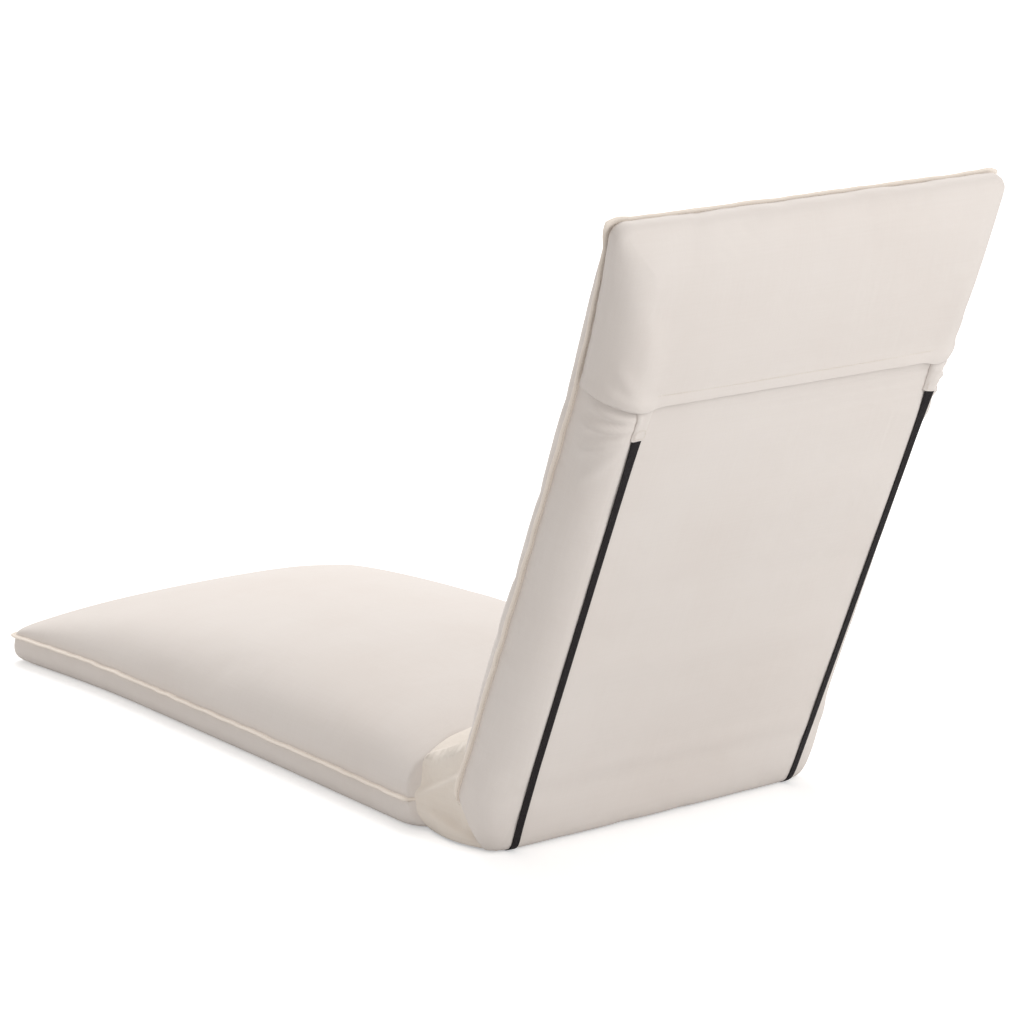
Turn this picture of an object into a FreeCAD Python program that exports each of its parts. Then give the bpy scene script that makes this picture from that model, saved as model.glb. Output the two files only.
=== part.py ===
"""Folding floor sun lounger: a long padded seat lying on the floor and a padded back
that reclines on two ratchet hinges, both sewn into pale woven covers over a tube frame.

Millimetres. +X is the width, +Y runs from the hinge to the foot end, +Z is up.
The back is built lying flat in line with the seat, then raised about the hinge axis.
"""
import FreeCAD, Part
import math
import os

Vec = FreeCAD.Vector

# Driving dimensions of the whole lounger
WIDTH = 540.0            # over the sewn flanges, at the hinge
PIVOT_HEIGHT = 100.0     # hinge axis above the floor
LEAN = 23.0              # back from the vertical, in the pose shown
SEAT_LENGTH = 952.0      # hinge end to foot end of the seat pad
SEAT_BAND = 38.0         # floor to the seat's flange seam
SEAT_CROWN = 94.0        # seat's cushion above that seam
BACK_REACH = 777.0       # hinge axis to the top of the back
BACK_TAIL = 37.0         # back pad below the hinge axis
BACK_LIFT = 4.0          # back's rear panel above the floor when laid flat
BACK_BAND = 62.0         # rear panel to the back's flange seam
BACK_CROWN = 60.0        # back's cushion in front of that seam
BACK_CROWN_START = 14.0  # back's cushion begins this far above the hinge axis
HINGE_GAP = 5.0          # between the two pads when laid flat

# How the cushions rise from their ends: length of the rise, share of the crown at the
# very end, and how soon the rest is gained (smaller is steeper)
SEAT_HINGE_RISE = (190.0, 0.34, 0.38)
SEAT_FOOT_RISE = (660.0, 0.14, 0.62)
BACK_HINGE_RISE = (300.0, 0.20, 0.42)
BACK_TOP_RISE = (240.0, 0.18, 0.60)
STATIONS = 8             # sections along each rise

# Covers
FABRIC = 1.2
CLEAR = 0.3              # between one soft layer and the next
FLANGE = 6.0             # flange seam standing out from the cover
FLANGE_THICK = 2.4
CORNER = 26.0            # plan radius of the pads' corners
WAIST = 4.0              # how far the long sides draw in
EAR = 20.0               # how far the sides flare out to the pads' far corners
EAR_RUN = 240.0          # length of that flare
EAR_POINT = 8.0          # plan radius of the flange at those corners
SIDE_POINTS = 12         # points that draw each long side
FLOOR_EDGE = 12.0        # rounding of the seat's cover at the floor
REAR_EDGE = 22.0         # rounding of the back's cover into its rear panel
TOP_DRAW = 26.0          # how far the rear panel is drawn in at the top of the back
TOP_DRAW_RUN = 192.0     # length of that curve

# Tube frames
TUBE = 22.0
TUBE_WALL = 1.5
TUBE_BEND = 70.0         # bend radius of the tube's centre line
RAIL_INSET = 49.0        # side rails from the pad's side
FRAME_END = 48.0         # end tube's centre from the pad's end
BAR = 16.0
BAR_WALL = 1.2
SEAT_BARS = 3
BACK_BARS = 2
BED_FOAM = 8.0           # foam sheet between seat frame and floor
REAR_FOAM = 18.0         # foam sheet behind the back frame
WEB = 2.0                # webbing thickness
WEB_WIDTH = 45.0
SEAT_WEB_COUNT = 8
BACK_WEB_COUNT = 6

# Ratchet hinges
CHEEK = 3.0              # seat plates each side of the rail
RATCHET = 8.0            # toothed arm's thickness
RATCHET_TIP = 20.0       # tip radius of the toothed head
TOOTH_DEPTH = 4.5
STEPS_TO_FLAT = 3        # clicks from the pose shown down to flat
NOTCHES = 5
RIVET = 10.0             # pivot rivet's shank
RUN = 0.05               # radial running clearance on pins
HEAD_OVER = 4.0          # rivet head's radius beyond its shank
HEAD_THICK = 3.0
HEAD_RADIUS = 18.0       # cheeks' head round the pivot
BAR_BELOW = 26.0         # cheeks' bar below the hinge axis
LEG_DROP = 16.0          # cheeks' leg below the hinge axis, under the seat's cover
CHEEK_CHAMFER = 8.0
LEG_INSET = 10.0         # cheeks' leg from the seat pad's end
LEG_WIDTH = 34.0
BUSH_WALL = 3.0
NOSE_HALF = 1.9          # half width of the pawl's nose at its tip
NOSE_CLEAR = 0.6
RELIEF_SPAN = 95.0       # degrees of low rim for the folded positions
ARM_LENGTH = 40.0        # toothed head to the tube's end
PAWL_LEVER = 24.0        # pawl's hub to nose
PAWL_ANGLE = -60.0       # nose's direction from the hinge axis
PAWL_SWING = 14.0        # lifted to engaged, in degrees
PAWL_STEP = 1.5          # pawl's shoulder beyond the tooth tips
PAWL_BACK = 6.0          # pawl's back beyond the tooth tips
PAWL_PIN = 6.0
PAWL_HUB = 6.5           # hub radius
FRAME_RIVET = 6.0
SPIGOT_LENGTH = 46.0
SLOT_ROOM = 1.0          # left round the hinges in the soft layers

# Hood, tabs and elastics behind the back
HOOD_HEM = 572.0         # hinge axis to the hood's free hem
HOOD_EDGE = 6.0          # hood stops this far short of the flange
STRAP_INSET = 43.0       # elastics' middles from the pad's side
STRAP_WIDTH = 15.0
STRAP_THICK = 1.6
STRAP_TUCK = 26.0        # run of the elastic up the tail's end
TAB_WIDTH = 20.0
TAB_LENGTH = 50.0

# Hinge fabric
GUSSET_INSET = 3.0       # side gussets behind the covers' corners
GUSSET_RISE = 20.0       # side gussets above the seat's seam
CREASE_RISE = 26.0       # crease panel's crest above the hinge axis
CREASE_LAP = 12.0        # how far the crease panel laps the cushions past the hinges

# Places that follow from them
HALF = WIDTH / 2 - FLANGE
RAIL_X = HALF - RAIL_INSET
STRAP_X = HALF - STRAP_INSET
SEAT_START = BACK_TAIL + HINGE_GAP
SEAT_END = SEAT_START + SEAT_LENGTH
REST_MIDDLE = (SEAT_START + SEAT_END) / 2
BACK_SEAM = BACK_LIFT + BACK_BAND
RAISE = 90.0 - LEAN
PIVOT = Vec(0, 0, PIVOT_HEIGHT)
X_AXIS = Vec(1, 0, 0)
SIDES = {"left": -1, "right": 1}
SEAT_TUBE_Z = FABRIC + CLEAR + BED_FOAM + CLEAR + TUBE / 2
BACK_TUBE_Z = BACK_LIFT + FABRIC + CLEAR + REAR_FOAM + CLEAR + TUBE / 2
CHEEK_INNER = TUBE / 2 + CLEAR / 2
CHEEK_OUTER = CHEEK_INNER + CHEEK
TOOTH_PITCH = RAISE / STEPS_TO_FLAT
NOSE_RADIUS = RATCHET_TIP - TOOTH_DEPTH / 2
ROOT_RADIUS = RATCHET_TIP - TOOTH_DEPTH


def spaced(first, last, count):
    step = (last - first) / (count - 1)
    return [first + step * i for i in range(count)]


def polar(radius, degrees):
    turn = math.radians(degrees)
    return radius * math.cos(turn), radius * math.sin(turn)


def half_at(y, start, end):
    """Half the width of a pad's plan: sides drawn in, then flaring to the far corners."""
    middle, reach = (start + end) / 2, (end - start) / 2
    flare = max(0, 1 - (end - y) / EAR_RUN)
    return HALF - WAIST * (1 - ((y - middle) / reach) ** 2) + EAR * flare ** 1.5


def outline(start, end, inset, level, far_corner):
    """Plan of a pad at a level, its hinge end at the start."""
    def slope(y):
        return half_at(y + 0.5, start, end) - half_at(y - 0.5, start, end)

    def tangent_start(rim, radius, ahead):
        y = rim - ahead * radius
        lean = math.atan(ahead * slope(y))
        return rim - ahead * radius * (1 + math.sin(lean)), lean

    low, high = start + inset, end - inset
    near_corner = CORNER - inset
    near_y, near_lean = tangent_start(low, near_corner, -1)
    far_y, far_lean = tangent_start(high, far_corner, 1)
    side = [(half_at(y, start, end) - inset, y) for y in spaced(near_y, far_y, SIDE_POINTS)]
    near_x = side[0][0] - near_corner * math.cos(near_lean)
    far_x = side[-1][0] - far_corner * math.cos(far_lean)
    near_turn = polar(near_corner, -(90 - math.degrees(near_lean)) / 2)
    far_turn = polar(far_corner, (90 - math.degrees(far_lean)) / 2)

    def at(x, y, hand):
        return Vec(hand * x, y, level)

    edges = []
    for hand in (1, -1):
        curve = Part.BSplineCurve()
        curve.interpolate(Points=[at(x, y, hand) for x, y in side],
                          InitialTangent=Vec(-hand * math.tan(near_lean), 1, 0),
                          FinalTangent=Vec(hand * math.tan(far_lean), 1, 0))
        near = Part.Arc(at(near_x, low, hand),
                        at(near_x + near_turn[0], low + near_corner + near_turn[1], hand),
                        at(*side[0], hand))
        far = Part.Arc(at(*side[-1], hand),
                       at(far_x + far_turn[0], high - far_corner + far_turn[1], hand),
                       at(far_x, high, hand))
        edges += [near.toShape(), curve.toShape(), far.toShape()]
    edges.append(Part.LineSegment(at(near_x, low, 1), at(near_x, low, -1)).toShape())
    edges.append(Part.LineSegment(at(far_x, high, 1), at(far_x, high, -1)).toShape())
    return Part.Wire(Part.__sortEdges__(edges))


def slab(start, end, inset, bottom, top):
    """Flat layer with the pad's plan, between two levels."""
    face = Part.Face(outline(start, end, inset, bottom, CORNER - inset))
    return face.extrude(Vec(0, 0, top - bottom))


def draw_in(spread):
    """What the back's rear panel leaves free as it curves in to the top."""
    radius = (TOP_DRAW_RUN ** 2 + TOP_DRAW ** 2) / (2 * TOP_DRAW)
    begin = BACK_REACH - TOP_DRAW_RUN
    roll = Part.makeCylinder(radius + spread, 2 * WIDTH, Vec(-WIDTH, begin, BACK_LIFT + radius), X_AXIS)
    free = box(-WIDTH, begin, BACK_LIFT - radius, 2 * WIDTH, 2 * TOP_DRAW_RUN, 2 * radius)
    return free.cut(roll)


def under_edges(solid):
    """Rim of the panel that faces down, where it is flat and where it curves."""
    under = [f for f in solid.Faces if f.normalAt(*[sum(f.ParameterRange[k:k + 2]) / 2 for k in (0, 2)]).z < -0.5]
    rims = [e for f in under for e in f.Edges]
    return [e for e in rims if sum(e.isSame(other) for other in rims) == 1]


def tray(start, end, spread, bottom, top, edge_round, cutters=()):
    """Underside and side band of a cover in one, open at the top."""
    outer = slab(start, end, -spread, bottom, top)
    for cutter in cutters:
        outer = outer.cut(cutter)
    outer = outer.makeFillet(edge_round, under_edges(outer))
    mouth = [f for f in outer.Faces if abs(f.BoundBox.ZMin - top) < 0.01]
    return outer.makeThickness(mouth, -FABRIC, 0.001)


def rise(distance, run, foot, ease):
    """Share of a cushion's crown at a distance from its end."""
    left_to_go = 1 - min(distance, run) / run
    return foot + (1 - foot) * (1 - left_to_go ** 2) ** ease


def crown_wire(y, half, base, height):
    """Cross-section of a cushion: steep shoulders under a broad crown."""
    shoulder_x, shoulder_z = 0.80 * half, base + 0.79 * height
    flank_x, flank_z = 0.955 * half, base + 0.53 * height
    left = Vec(-half, y, base)
    right = Vec(half, y, base)
    left_top = Vec(-shoulder_x, y, shoulder_z)
    right_top = Vec(shoulder_x, y, shoulder_z)
    return Part.Wire([
        Part.LineSegment(left, right).toShape(),
        Part.Arc(right, Vec(flank_x, y, flank_z), right_top).toShape(),
        Part.Arc(right_top, Vec(0, y, base + height), left_top).toShape(),
        Part.Arc(left_top, Vec(-flank_x, y, flank_z), left).toShape(),
    ])


def crown(start, end, plan_start, base, height, near_rise, far_rise, inset):
    """Cushion crown lofted along the pad, rising from both of its ends. Its sides
    draw in with the pad's plan, which may start before it."""
    low, high = start + inset, end - inset
    corner = CORNER - inset
    steps = [(k / STATIONS) ** 2 for k in range(STATIONS + 1)]
    stations = [(low + near_rise[0] * t, rise(near_rise[0] * t, *near_rise)) for t in steps]
    stations += [(high - far_rise[0] * t, rise(far_rise[0] * t, *far_rise)) for t in steps[::-1]]
    wires = []
    for y, share in stations:
        near = min(y - low, high - y, corner)
        rounding = corner - math.sqrt(corner ** 2 - (corner - near) ** 2)
        half = half_at(y, plan_start, end) - 3 * CLEAR - inset - rounding
        wires.append(crown_wire(y, half, base, share * height - inset))
    return Part.makeLoft(wires, True, True)


def seat_crown(inset):
    return crown(SEAT_START, SEAT_END, SEAT_START, SEAT_BAND, SEAT_CROWN, SEAT_HINGE_RISE,
                 SEAT_FOOT_RISE, inset)


def back_crown(inset):
    front = crown(BACK_CROWN_START, BACK_REACH, -BACK_TAIL, BACK_SEAM, BACK_CROWN,
                  BACK_HINGE_RISE, BACK_TOP_RISE, inset)
    return turned_over(front)


def turned_over(shape):
    """Drawn towards the foot, laid the other way for the back."""
    return shape.mirror(Vec(0, 0, 0), Vec(0, 1, 0))


def back_slab(inset, bottom, top):
    return turned_over(slab(-BACK_TAIL, BACK_REACH, inset, bottom, top))


def box(x, y, z, size_x, size_y, size_z):
    return Part.makeBox(size_x, size_y, size_z, Vec(x, y, z))


def rod(x, y, z, radius, length):
    """Round bar along X, centred on x."""
    return Part.makeCylinder(radius, length, Vec(x - length / 2, y, z), X_AXIS)


def at_pivot(radius, x, length):
    return rod(x, 0, PIVOT_HEIGHT, radius, length)


def plate(points, x, thick):
    """Flat plate in the YZ plane, centred on x."""
    corners = [Vec(x - thick / 2, y, z) for y, z in points]
    face = Part.Face(Part.makePolygon(corners + corners[:1]))
    return face.extrude(Vec(thick, 0, 0))


def u_tube(open_y, closed_y, z):
    """Tube bent to a U: open at the hinge, closed at the pad's far end."""
    ahead = 1 if closed_y > open_y else -1
    bend_y = closed_y - ahead * TUBE_BEND
    bite = TUBE_BEND * (1 - math.sqrt(0.5))
    left, right = -RAIL_X, RAIL_X
    path = Part.Wire([
        Part.LineSegment(Vec(left, open_y, z), Vec(left, bend_y, z)).toShape(),
        Part.Arc(Vec(left, bend_y, z), Vec(left + bite, closed_y - ahead * bite, z),
                 Vec(left + TUBE_BEND, closed_y, z)).toShape(),
        Part.LineSegment(Vec(left + TUBE_BEND, closed_y, z),
                         Vec(right - TUBE_BEND, closed_y, z)).toShape(),
        Part.Arc(Vec(right - TUBE_BEND, closed_y, z),
                 Vec(right - bite, closed_y - ahead * bite, z),
                 Vec(right, bend_y, z)).toShape(),
        Part.LineSegment(Vec(right, bend_y, z), Vec(right, open_y, z)).toShape(),
    ])

    def swept(radius):
        ring = Part.Wire(Part.Circle(Vec(left, open_y, z), Vec(0, ahead, 0), radius).toShape())
        return path.makePipeShell([ring], True, False)

    return swept(TUBE / 2).cut(swept(TUBE / 2 - TUBE_WALL))


def cross_bars(places, z):
    """Cross tubes coped to the side rails."""
    bars = []
    for y in places:
        bar = rod(0, y, z, BAR / 2, 2 * RAIL_X).cut(rod(0, y, z, BAR / 2 - BAR_WALL, 2 * RAIL_X))
        for x in (-RAIL_X, RAIL_X):
            rail = Part.makeCylinder(TUBE / 2, 4 * BAR, Vec(x, y - 2 * BAR, z), Vec(0, 1, 0))
            bar = bar.cut(rail)
        bars.append(bar)
    return Part.makeCompound(bars)


def webbing(places, z):
    """Flat bands laid across the rails."""
    reach = 2 * RAIL_X + TUBE
    return Part.makeCompound([box(-reach / 2, y - WEB_WIDTH / 2, z, reach, WEB_WIDTH, WEB)
                              for y in places])


def flange(start, end, seam):
    """Flange seam round three sides of a pad, open at the hinge end, with pointed ears."""
    bottom = seam - FLANGE_THICK / 2
    ring = Part.Face(outline(start, end, -FLANGE, bottom, EAR_POINT))
    ring = ring.extrude(Vec(0, 0, FLANGE_THICK))
    ring = ring.cut(slab(start, end, -CLEAR, bottom, bottom + FLANGE_THICK))
    hinge_end = box(-WIDTH, start - 2 * FLANGE, bottom, 2 * WIDTH, CORNER + 2 * FLANGE, FLANGE_THICK)
    return ring.cut(hinge_end)


def tooth_frame(shape, degrees):
    """Turns a shape drawn with Y outward and Z along the rim to its place on the head."""
    shape.rotate(Vec(0, 0, 0), X_AXIS, degrees)
    shape.translate(PIVOT)
    return shape


def pawl_hub_place():
    """The hub lies on the tangent at the nose, on the seat's side."""
    nose_y, nose_z = polar(NOSE_RADIUS, PAWL_ANGLE)
    along_y, along_z = polar(PAWL_LEVER, PAWL_ANGLE + 90)
    return nose_y + along_y, PIVOT_HEIGHT + nose_z + along_z


HUB_Y, HUB_Z = pawl_hub_place()
LEG_NEAR = SEAT_START + LEG_INSET
LEG_FAR = LEG_NEAR + LEG_WIDTH
LEG_FOOT = SEAT_TUBE_Z - TUBE / 2
RIVET_PLACES = [LEG_NEAR + FRAME_RIVET * 1.5, LEG_FAR - FRAME_RIVET * 1.5]
ARM_REACH = -(RATCHET_TIP + ARM_LENGTH)


def cheek(x):
    """Seat plate: head round the pivot, bar into the pad's end, leg down to the rail."""
    low = PIVOT_HEIGHT - BAR_BELOW
    top = PIVOT_HEIGHT - LEG_DROP
    chamfer = CHEEK_CHAMFER
    corners = [(0, PIVOT_HEIGHT - HEAD_RADIUS), (HEAD_RADIUS, low), (LEG_NEAR - chamfer, low),
               (LEG_NEAR, low - chamfer), (LEG_NEAR, LEG_FOOT), (LEG_FAR, LEG_FOOT),
               (LEG_FAR, top - chamfer), (LEG_FAR - chamfer, top), (LEG_NEAR + chamfer, top),
               (HUB_Y + PAWL_HUB, HUB_Z + PAWL_HUB), (0, PIVOT_HEIGHT + HEAD_RADIUS)]
    body = plate(corners, x, CHEEK).fuse(at_pivot(HEAD_RADIUS, x, CHEEK))
    body = body.cut(at_pivot(RIVET / 2, x, 2 * CHEEK))
    body = body.cut(rod(x, HUB_Y, HUB_Z, PAWL_PIN / 2, 2 * CHEEK))
    for y in RIVET_PLACES:
        body = body.cut(rod(x, y, SEAT_TUBE_Z, FRAME_RIVET / 2, 2 * CHEEK))
    return body.removeSplitter()


def headed_pin(x, y, z, shank, span):
    """Rivet along X with a tapered head at each end of its span."""
    pin = rod(x, y, z, shank / 2, span)
    for side in (-1, 1):
        head = Part.makeCone(shank / 2 + HEAD_OVER, shank / 2 + HEAD_OVER / 2, HEAD_THICK,
                             Vec(x + side * span / 2, y, z), Vec(side, 0, 0))
        pin = pin.fuse(head)
    return pin.removeSplitter()


def spacers(x):
    """Bushes on the pivot rivet that centre the toothed arm between the cheeks."""
    length = CHEEK_INNER - RATCHET / 2 - 2 * RUN
    bushes = []
    for side in (-1, 1):
        centre = x + side * (RATCHET / 2 + RUN + length / 2)
        bush = at_pivot(RIVET / 2 + BUSH_WALL, centre, length)
        bushes.append(bush.cut(at_pivot(RIVET / 2 + RUN, centre, length)))
    return Part.makeCompound(bushes)


def notch(x, degrees):
    """Tooth space, wider at the rim and a little larger than the pawl's nose."""
    root, rim = ROOT_RADIUS - NOSE_CLEAR, RATCHET_TIP + TOOTH_DEPTH
    sides = [(root, -NOSE_HALF - NOSE_CLEAR), (rim, -2 * NOSE_HALF - NOSE_CLEAR),
             (rim, 2 * NOSE_HALF + 2 * NOSE_CLEAR), (root, NOSE_HALF + NOSE_CLEAR)]
    return tooth_frame(plate([(y, z) for y, z in sides], x, 2 * RATCHET), degrees)


def relief(x):
    """Low rim that runs under the pawl once the back is past upright."""
    ring = rod(x, 0, 0, RATCHET_TIP + TOOTH_DEPTH, 2 * RATCHET)
    ring = ring.cut(rod(x, 0, 0, ROOT_RADIUS - NOSE_CLEAR, 2 * RATCHET))
    reach = 3 * RATCHET_TIP
    start = PAWL_ANGLE + (NOTCHES - 0.5) * TOOTH_PITCH
    corners = [(0, 0)] + [polar(reach, start + RELIEF_SPAN * k / 2) for k in range(3)]
    ring = ring.common(plate(corners, x, 2 * RATCHET))
    ring.translate(PIVOT)
    return ring


def ratchet_arm(x):
    """Back's arm, laid flat: toothed head, web, and a spigot for the back tube."""
    heel = BACK_TUBE_Z - TUBE / 2 + TUBE_WALL
    brow = BACK_TUBE_Z + TUBE / 2 - TUBE_WALL
    head_y, head_z = polar(HEAD_RADIUS, 150)
    throat_y, throat_z = polar(ROOT_RADIUS, -75)
    web = [(head_y, PIVOT_HEIGHT + head_z), (throat_y, PIVOT_HEIGHT + throat_z),
           (ARM_REACH / 2, heel), (ARM_REACH, heel), (ARM_REACH, brow),
           (ARM_REACH * 0.65, brow + HEAD_OVER)]
    arm = plate(web, x, RATCHET).fuse(at_pivot(RATCHET_TIP, x, RATCHET))
    for i in range(NOTCHES):
        arm = arm.cut(notch(x, PAWL_ANGLE + i * TOOTH_PITCH))
    arm = arm.cut(relief(x))
    spigot = Part.makeCylinder(TUBE / 2 - TUBE_WALL - RUN, SPIGOT_LENGTH,
                               Vec(x, ARM_REACH + SLOT_ROOM, BACK_TUBE_Z), Vec(0, -1, 0))
    arm = arm.fuse(spigot).cut(at_pivot(RIVET / 2 + RUN, x, 2 * RATCHET))
    return arm.removeSplitter()


def pawl(x):
    """Pawl held clear of the teeth: nose, lever and a hub between the cheeks."""
    tip, rim = ROOT_RADIUS, RATCHET_TIP
    lever = [(tip, -NOSE_HALF), (rim + PAWL_STEP, -1.8 * NOSE_HALF),
             (rim + PAWL_BACK, -1.6 * NOSE_HALF), (rim + PAWL_HUB, PAWL_LEVER / 4),
             (NOSE_RADIUS + PAWL_HUB, PAWL_LEVER), (NOSE_RADIUS - PAWL_HUB, PAWL_LEVER),
             (rim - CLEAR, 0.4 * PAWL_LEVER), (rim + PAWL_STEP, 2.2 * NOSE_HALF),
             (tip, NOSE_HALF)]
    body = tooth_frame(plate(lever, x, RATCHET), PAWL_ANGLE)
    body = body.fuse(rod(x, HUB_Y, HUB_Z, PAWL_HUB, 2 * (CHEEK_INNER - 2 * RUN)))
    body = body.cut(rod(x, HUB_Y, HUB_Z, PAWL_PIN / 2 + RUN, 2 * TUBE)).removeSplitter()
    body.rotate(Vec(0, HUB_Y, HUB_Z), X_AXIS, PAWL_SWING)
    return body


def raised(shape):
    """From lying flat to the pose shown, turned up about the hinge axis."""
    turned = shape.copy()
    turned.rotate(PIVOT, X_AXIS, -RAISE)
    return turned


def raised_point(y, z):
    spot = FreeCAD.Rotation(X_AXIS, -RAISE).multVec(Vec(0, y, z - PIVOT_HEIGHT))
    return spot.y, spot.z + PIVOT_HEIGHT


def ribbon(points, thick, x, width):
    """Strip of cloth along a line of (y, z) points, its thickness to the left of the line."""
    other = []
    for i, (y, z) in enumerate(points):
        before = points[max(i - 1, 0)]
        after = points[min(i + 1, len(points) - 1)]
        run = math.hypot(after[0] - before[0], after[1] - before[1])
        other.append((y - thick * (after[1] - before[1]) / run,
                      z + thick * (after[0] - before[0]) / run))
    return plate(points + other[::-1], x, width)


def arc_points(centre_y, centre_z, radius, start, end, count):
    turns = spaced(start, end, count)
    return [(centre_y + polar(radius, a)[0], centre_z + polar(radius, a)[1]) for a in turns]


# Seat: cover, cushion, layers and frame

def cheek_slots(bottom):
    """Room in the seat's soft layers for the hinge plates and their rivet heads."""
    wide = CHEEK_OUTER + HEAD_THICK + SLOT_ROOM
    deep = LEG_FAR - SEAT_START + 2 * SLOT_ROOM
    tall = SEAT_BAND + SEAT_CROWN
    return [box(side * RAIL_X - wide, SEAT_START - SLOT_ROOM, bottom, 2 * wide, deep, tall)
            for side in SIDES.values()]


def cut_all(shape, cutters):
    for cutter in cutters:
        shape = shape.cut(cutter)
    return shape


def seat_pieces():
    web_z = SEAT_TUBE_Z + TUBE / 2 + CLEAR
    felt_z = web_z + WEB + CLEAR
    slots = cheek_slots(felt_z)
    skin = FABRIC + CLEAR
    tube_start = LEG_NEAR + SLOT_ROOM
    rivet_holes = [rod(side * RAIL_X, y, SEAT_TUBE_Z, FRAME_RIVET / 2, 2 * TUBE)
                   for side in SIDES.values() for y in RIVET_PLACES]
    frame_end = SEAT_END - FRAME_END
    bars = spaced(LEG_FAR + 2 * BAR, frame_end - 2 * TUBE_BEND, SEAT_BARS)
    webs = spaced(LEG_FAR + WEB_WIDTH, frame_end - 1.5 * TUBE_BEND, SEAT_WEB_COUNT)
    dome = seat_crown(0).cut(seat_crown(FABRIC))
    return {
        "seat_cover_base": tray(SEAT_START, SEAT_END, 0, 0, SEAT_BAND, FLOOR_EDGE),
        "seat_cover_top": cut_all(dome, slots),
        "seat_flange_seam": flange(SEAT_START, SEAT_END, SEAT_BAND).cut(seat_crown(0)),
        "seat_cushion": cut_all(seat_crown(skin), slots),
        "seat_felt": cut_all(slab(SEAT_START, SEAT_END, skin, felt_z, SEAT_BAND - CLEAR), slots),
        "seat_webbing": webbing(webs, web_z),
        "seat_bed_foam": slab(SEAT_START, SEAT_END, FABRIC + FLOOR_EDGE, skin, skin + BED_FOAM),
        "seat_frame_tube": cut_all(u_tube(tube_start, frame_end, SEAT_TUBE_Z), rivet_holes),
        "seat_cross_bars": cross_bars(bars, SEAT_TUBE_Z),
    }


# Back: the same build, laid flat, with its hood and elastics

def knuckle_pockets():
    """Room in the back's soft layers for the hinge heads and the toothed arms."""
    wide = CHEEK_OUTER + HEAD_THICK + SLOT_ROOM
    narrow = RATCHET / 2 + SLOT_ROOM
    bottom = BACK_TUBE_Z - TUBE / 2
    cutters = []
    for side in SIDES.values():
        x = side * RAIL_X
        cutters.append(at_pivot(RATCHET_TIP + 2 * TOOTH_DEPTH, x, 2 * wide))
        cutters.append(box(x - narrow, ARM_REACH - 2 * SLOT_ROOM, bottom, 2 * narrow,
                           BACK_TAIL - ARM_REACH, PIVOT_HEIGHT - bottom))
    return cutters


def hood():
    """Pocket sewn round the top of the back, open at its lower hem."""
    top = BACK_SEAM - FLANGE_THICK / 2 - HOOD_EDGE
    out = CLEAR + FABRIC
    pocket = turned_over(tray(-BACK_TAIL, BACK_REACH, out, BACK_LIFT - out, top, REAR_EDGE + out,
                              [draw_in(out)]))
    keep = box(-WIDTH, -2 * BACK_REACH, 0, 2 * WIDTH, 2 * BACK_REACH - HOOD_HEM, 2 * BACK_SEAM)
    return pocket.common(keep)


def elastic(x):
    """Flat elastic from its tab down the rear panel and round the tail."""
    round_y, round_z = BACK_TAIL - REAR_EDGE, BACK_LIFT + REAR_EDGE
    start = (-(HOOD_HEM - TAB_LENGTH), BACK_LIFT - CLEAR)
    bend = arc_points(round_y, round_z, REAR_EDGE + CLEAR, -90, 0, 7)
    end = (BACK_TAIL + CLEAR, round_z + STRAP_TUCK)
    return ribbon([end] + bend[::-1] + [start], STRAP_THICK, x, STRAP_WIDTH)


def strap_tab(x):
    hem = -HOOD_HEM + CLEAR
    return box(x - TAB_WIDTH / 2, hem, BACK_LIFT - CLEAR - STRAP_THICK, TAB_WIDTH,
               TAB_LENGTH - 2 * CLEAR, STRAP_THICK)


def back_pieces():
    skin = FABRIC + CLEAR
    web_z = BACK_TUBE_Z + TUBE / 2 + CLEAR
    felt_z = web_z + WEB + CLEAR
    foam_z = BACK_LIFT + skin
    pockets = knuckle_pockets()
    frame_end = -(BACK_REACH - FRAME_END)
    bars = spaced(ARM_REACH - SPIGOT_LENGTH - BAR, frame_end + 2 * TUBE_BEND, BACK_BARS)
    webs = spaced(ARM_REACH - SPIGOT_LENGTH, frame_end + 1.5 * TUBE_BEND, BACK_WEB_COUNT)
    dome = back_crown(0).cut(back_crown(FABRIC))
    foam = back_slab(FABRIC + REAR_EDGE, foam_z, foam_z + REAR_FOAM)
    foam_room = box(-WIDTH, frame_end, 0, 2 * WIDTH, BACK_REACH + FRAME_END, BACK_SEAM)
    pieces = {
        "back_cover_rear": turned_over(tray(-BACK_TAIL, BACK_REACH, 0, BACK_LIFT, BACK_SEAM,
                                            REAR_EDGE, [draw_in(0)])),
        "back_cover_front": cut_all(dome, pockets),
        "back_flange_seam": turned_over(flange(-BACK_TAIL, BACK_REACH, BACK_SEAM)).cut(back_crown(0)),
        "back_cushion": cut_all(back_crown(skin), pockets),
        "back_felt": cut_all(back_slab(skin, felt_z, BACK_SEAM - CLEAR), pockets),
        "back_webbing": webbing(webs, web_z),
        "back_rear_foam": foam.cut(turned_over(draw_in(-skin))).common(foam_room),
        "back_frame_tube": u_tube(ARM_REACH, frame_end, BACK_TUBE_Z),
        "back_cross_bars": cross_bars(bars, BACK_TUBE_Z),
        "back_hood": hood(),
    }
    for name, side in SIDES.items():
        pieces[name + "_ratchet_arm"] = ratchet_arm(side * RAIL_X)
        pieces[name + "_elastic_strap"] = elastic(side * STRAP_X)
        pieces[name + "_strap_tab"] = strap_tab(side * STRAP_X)
    return {name: raised(shape) for name, shape in pieces.items()}


# Hinges on the seat's rails

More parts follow.
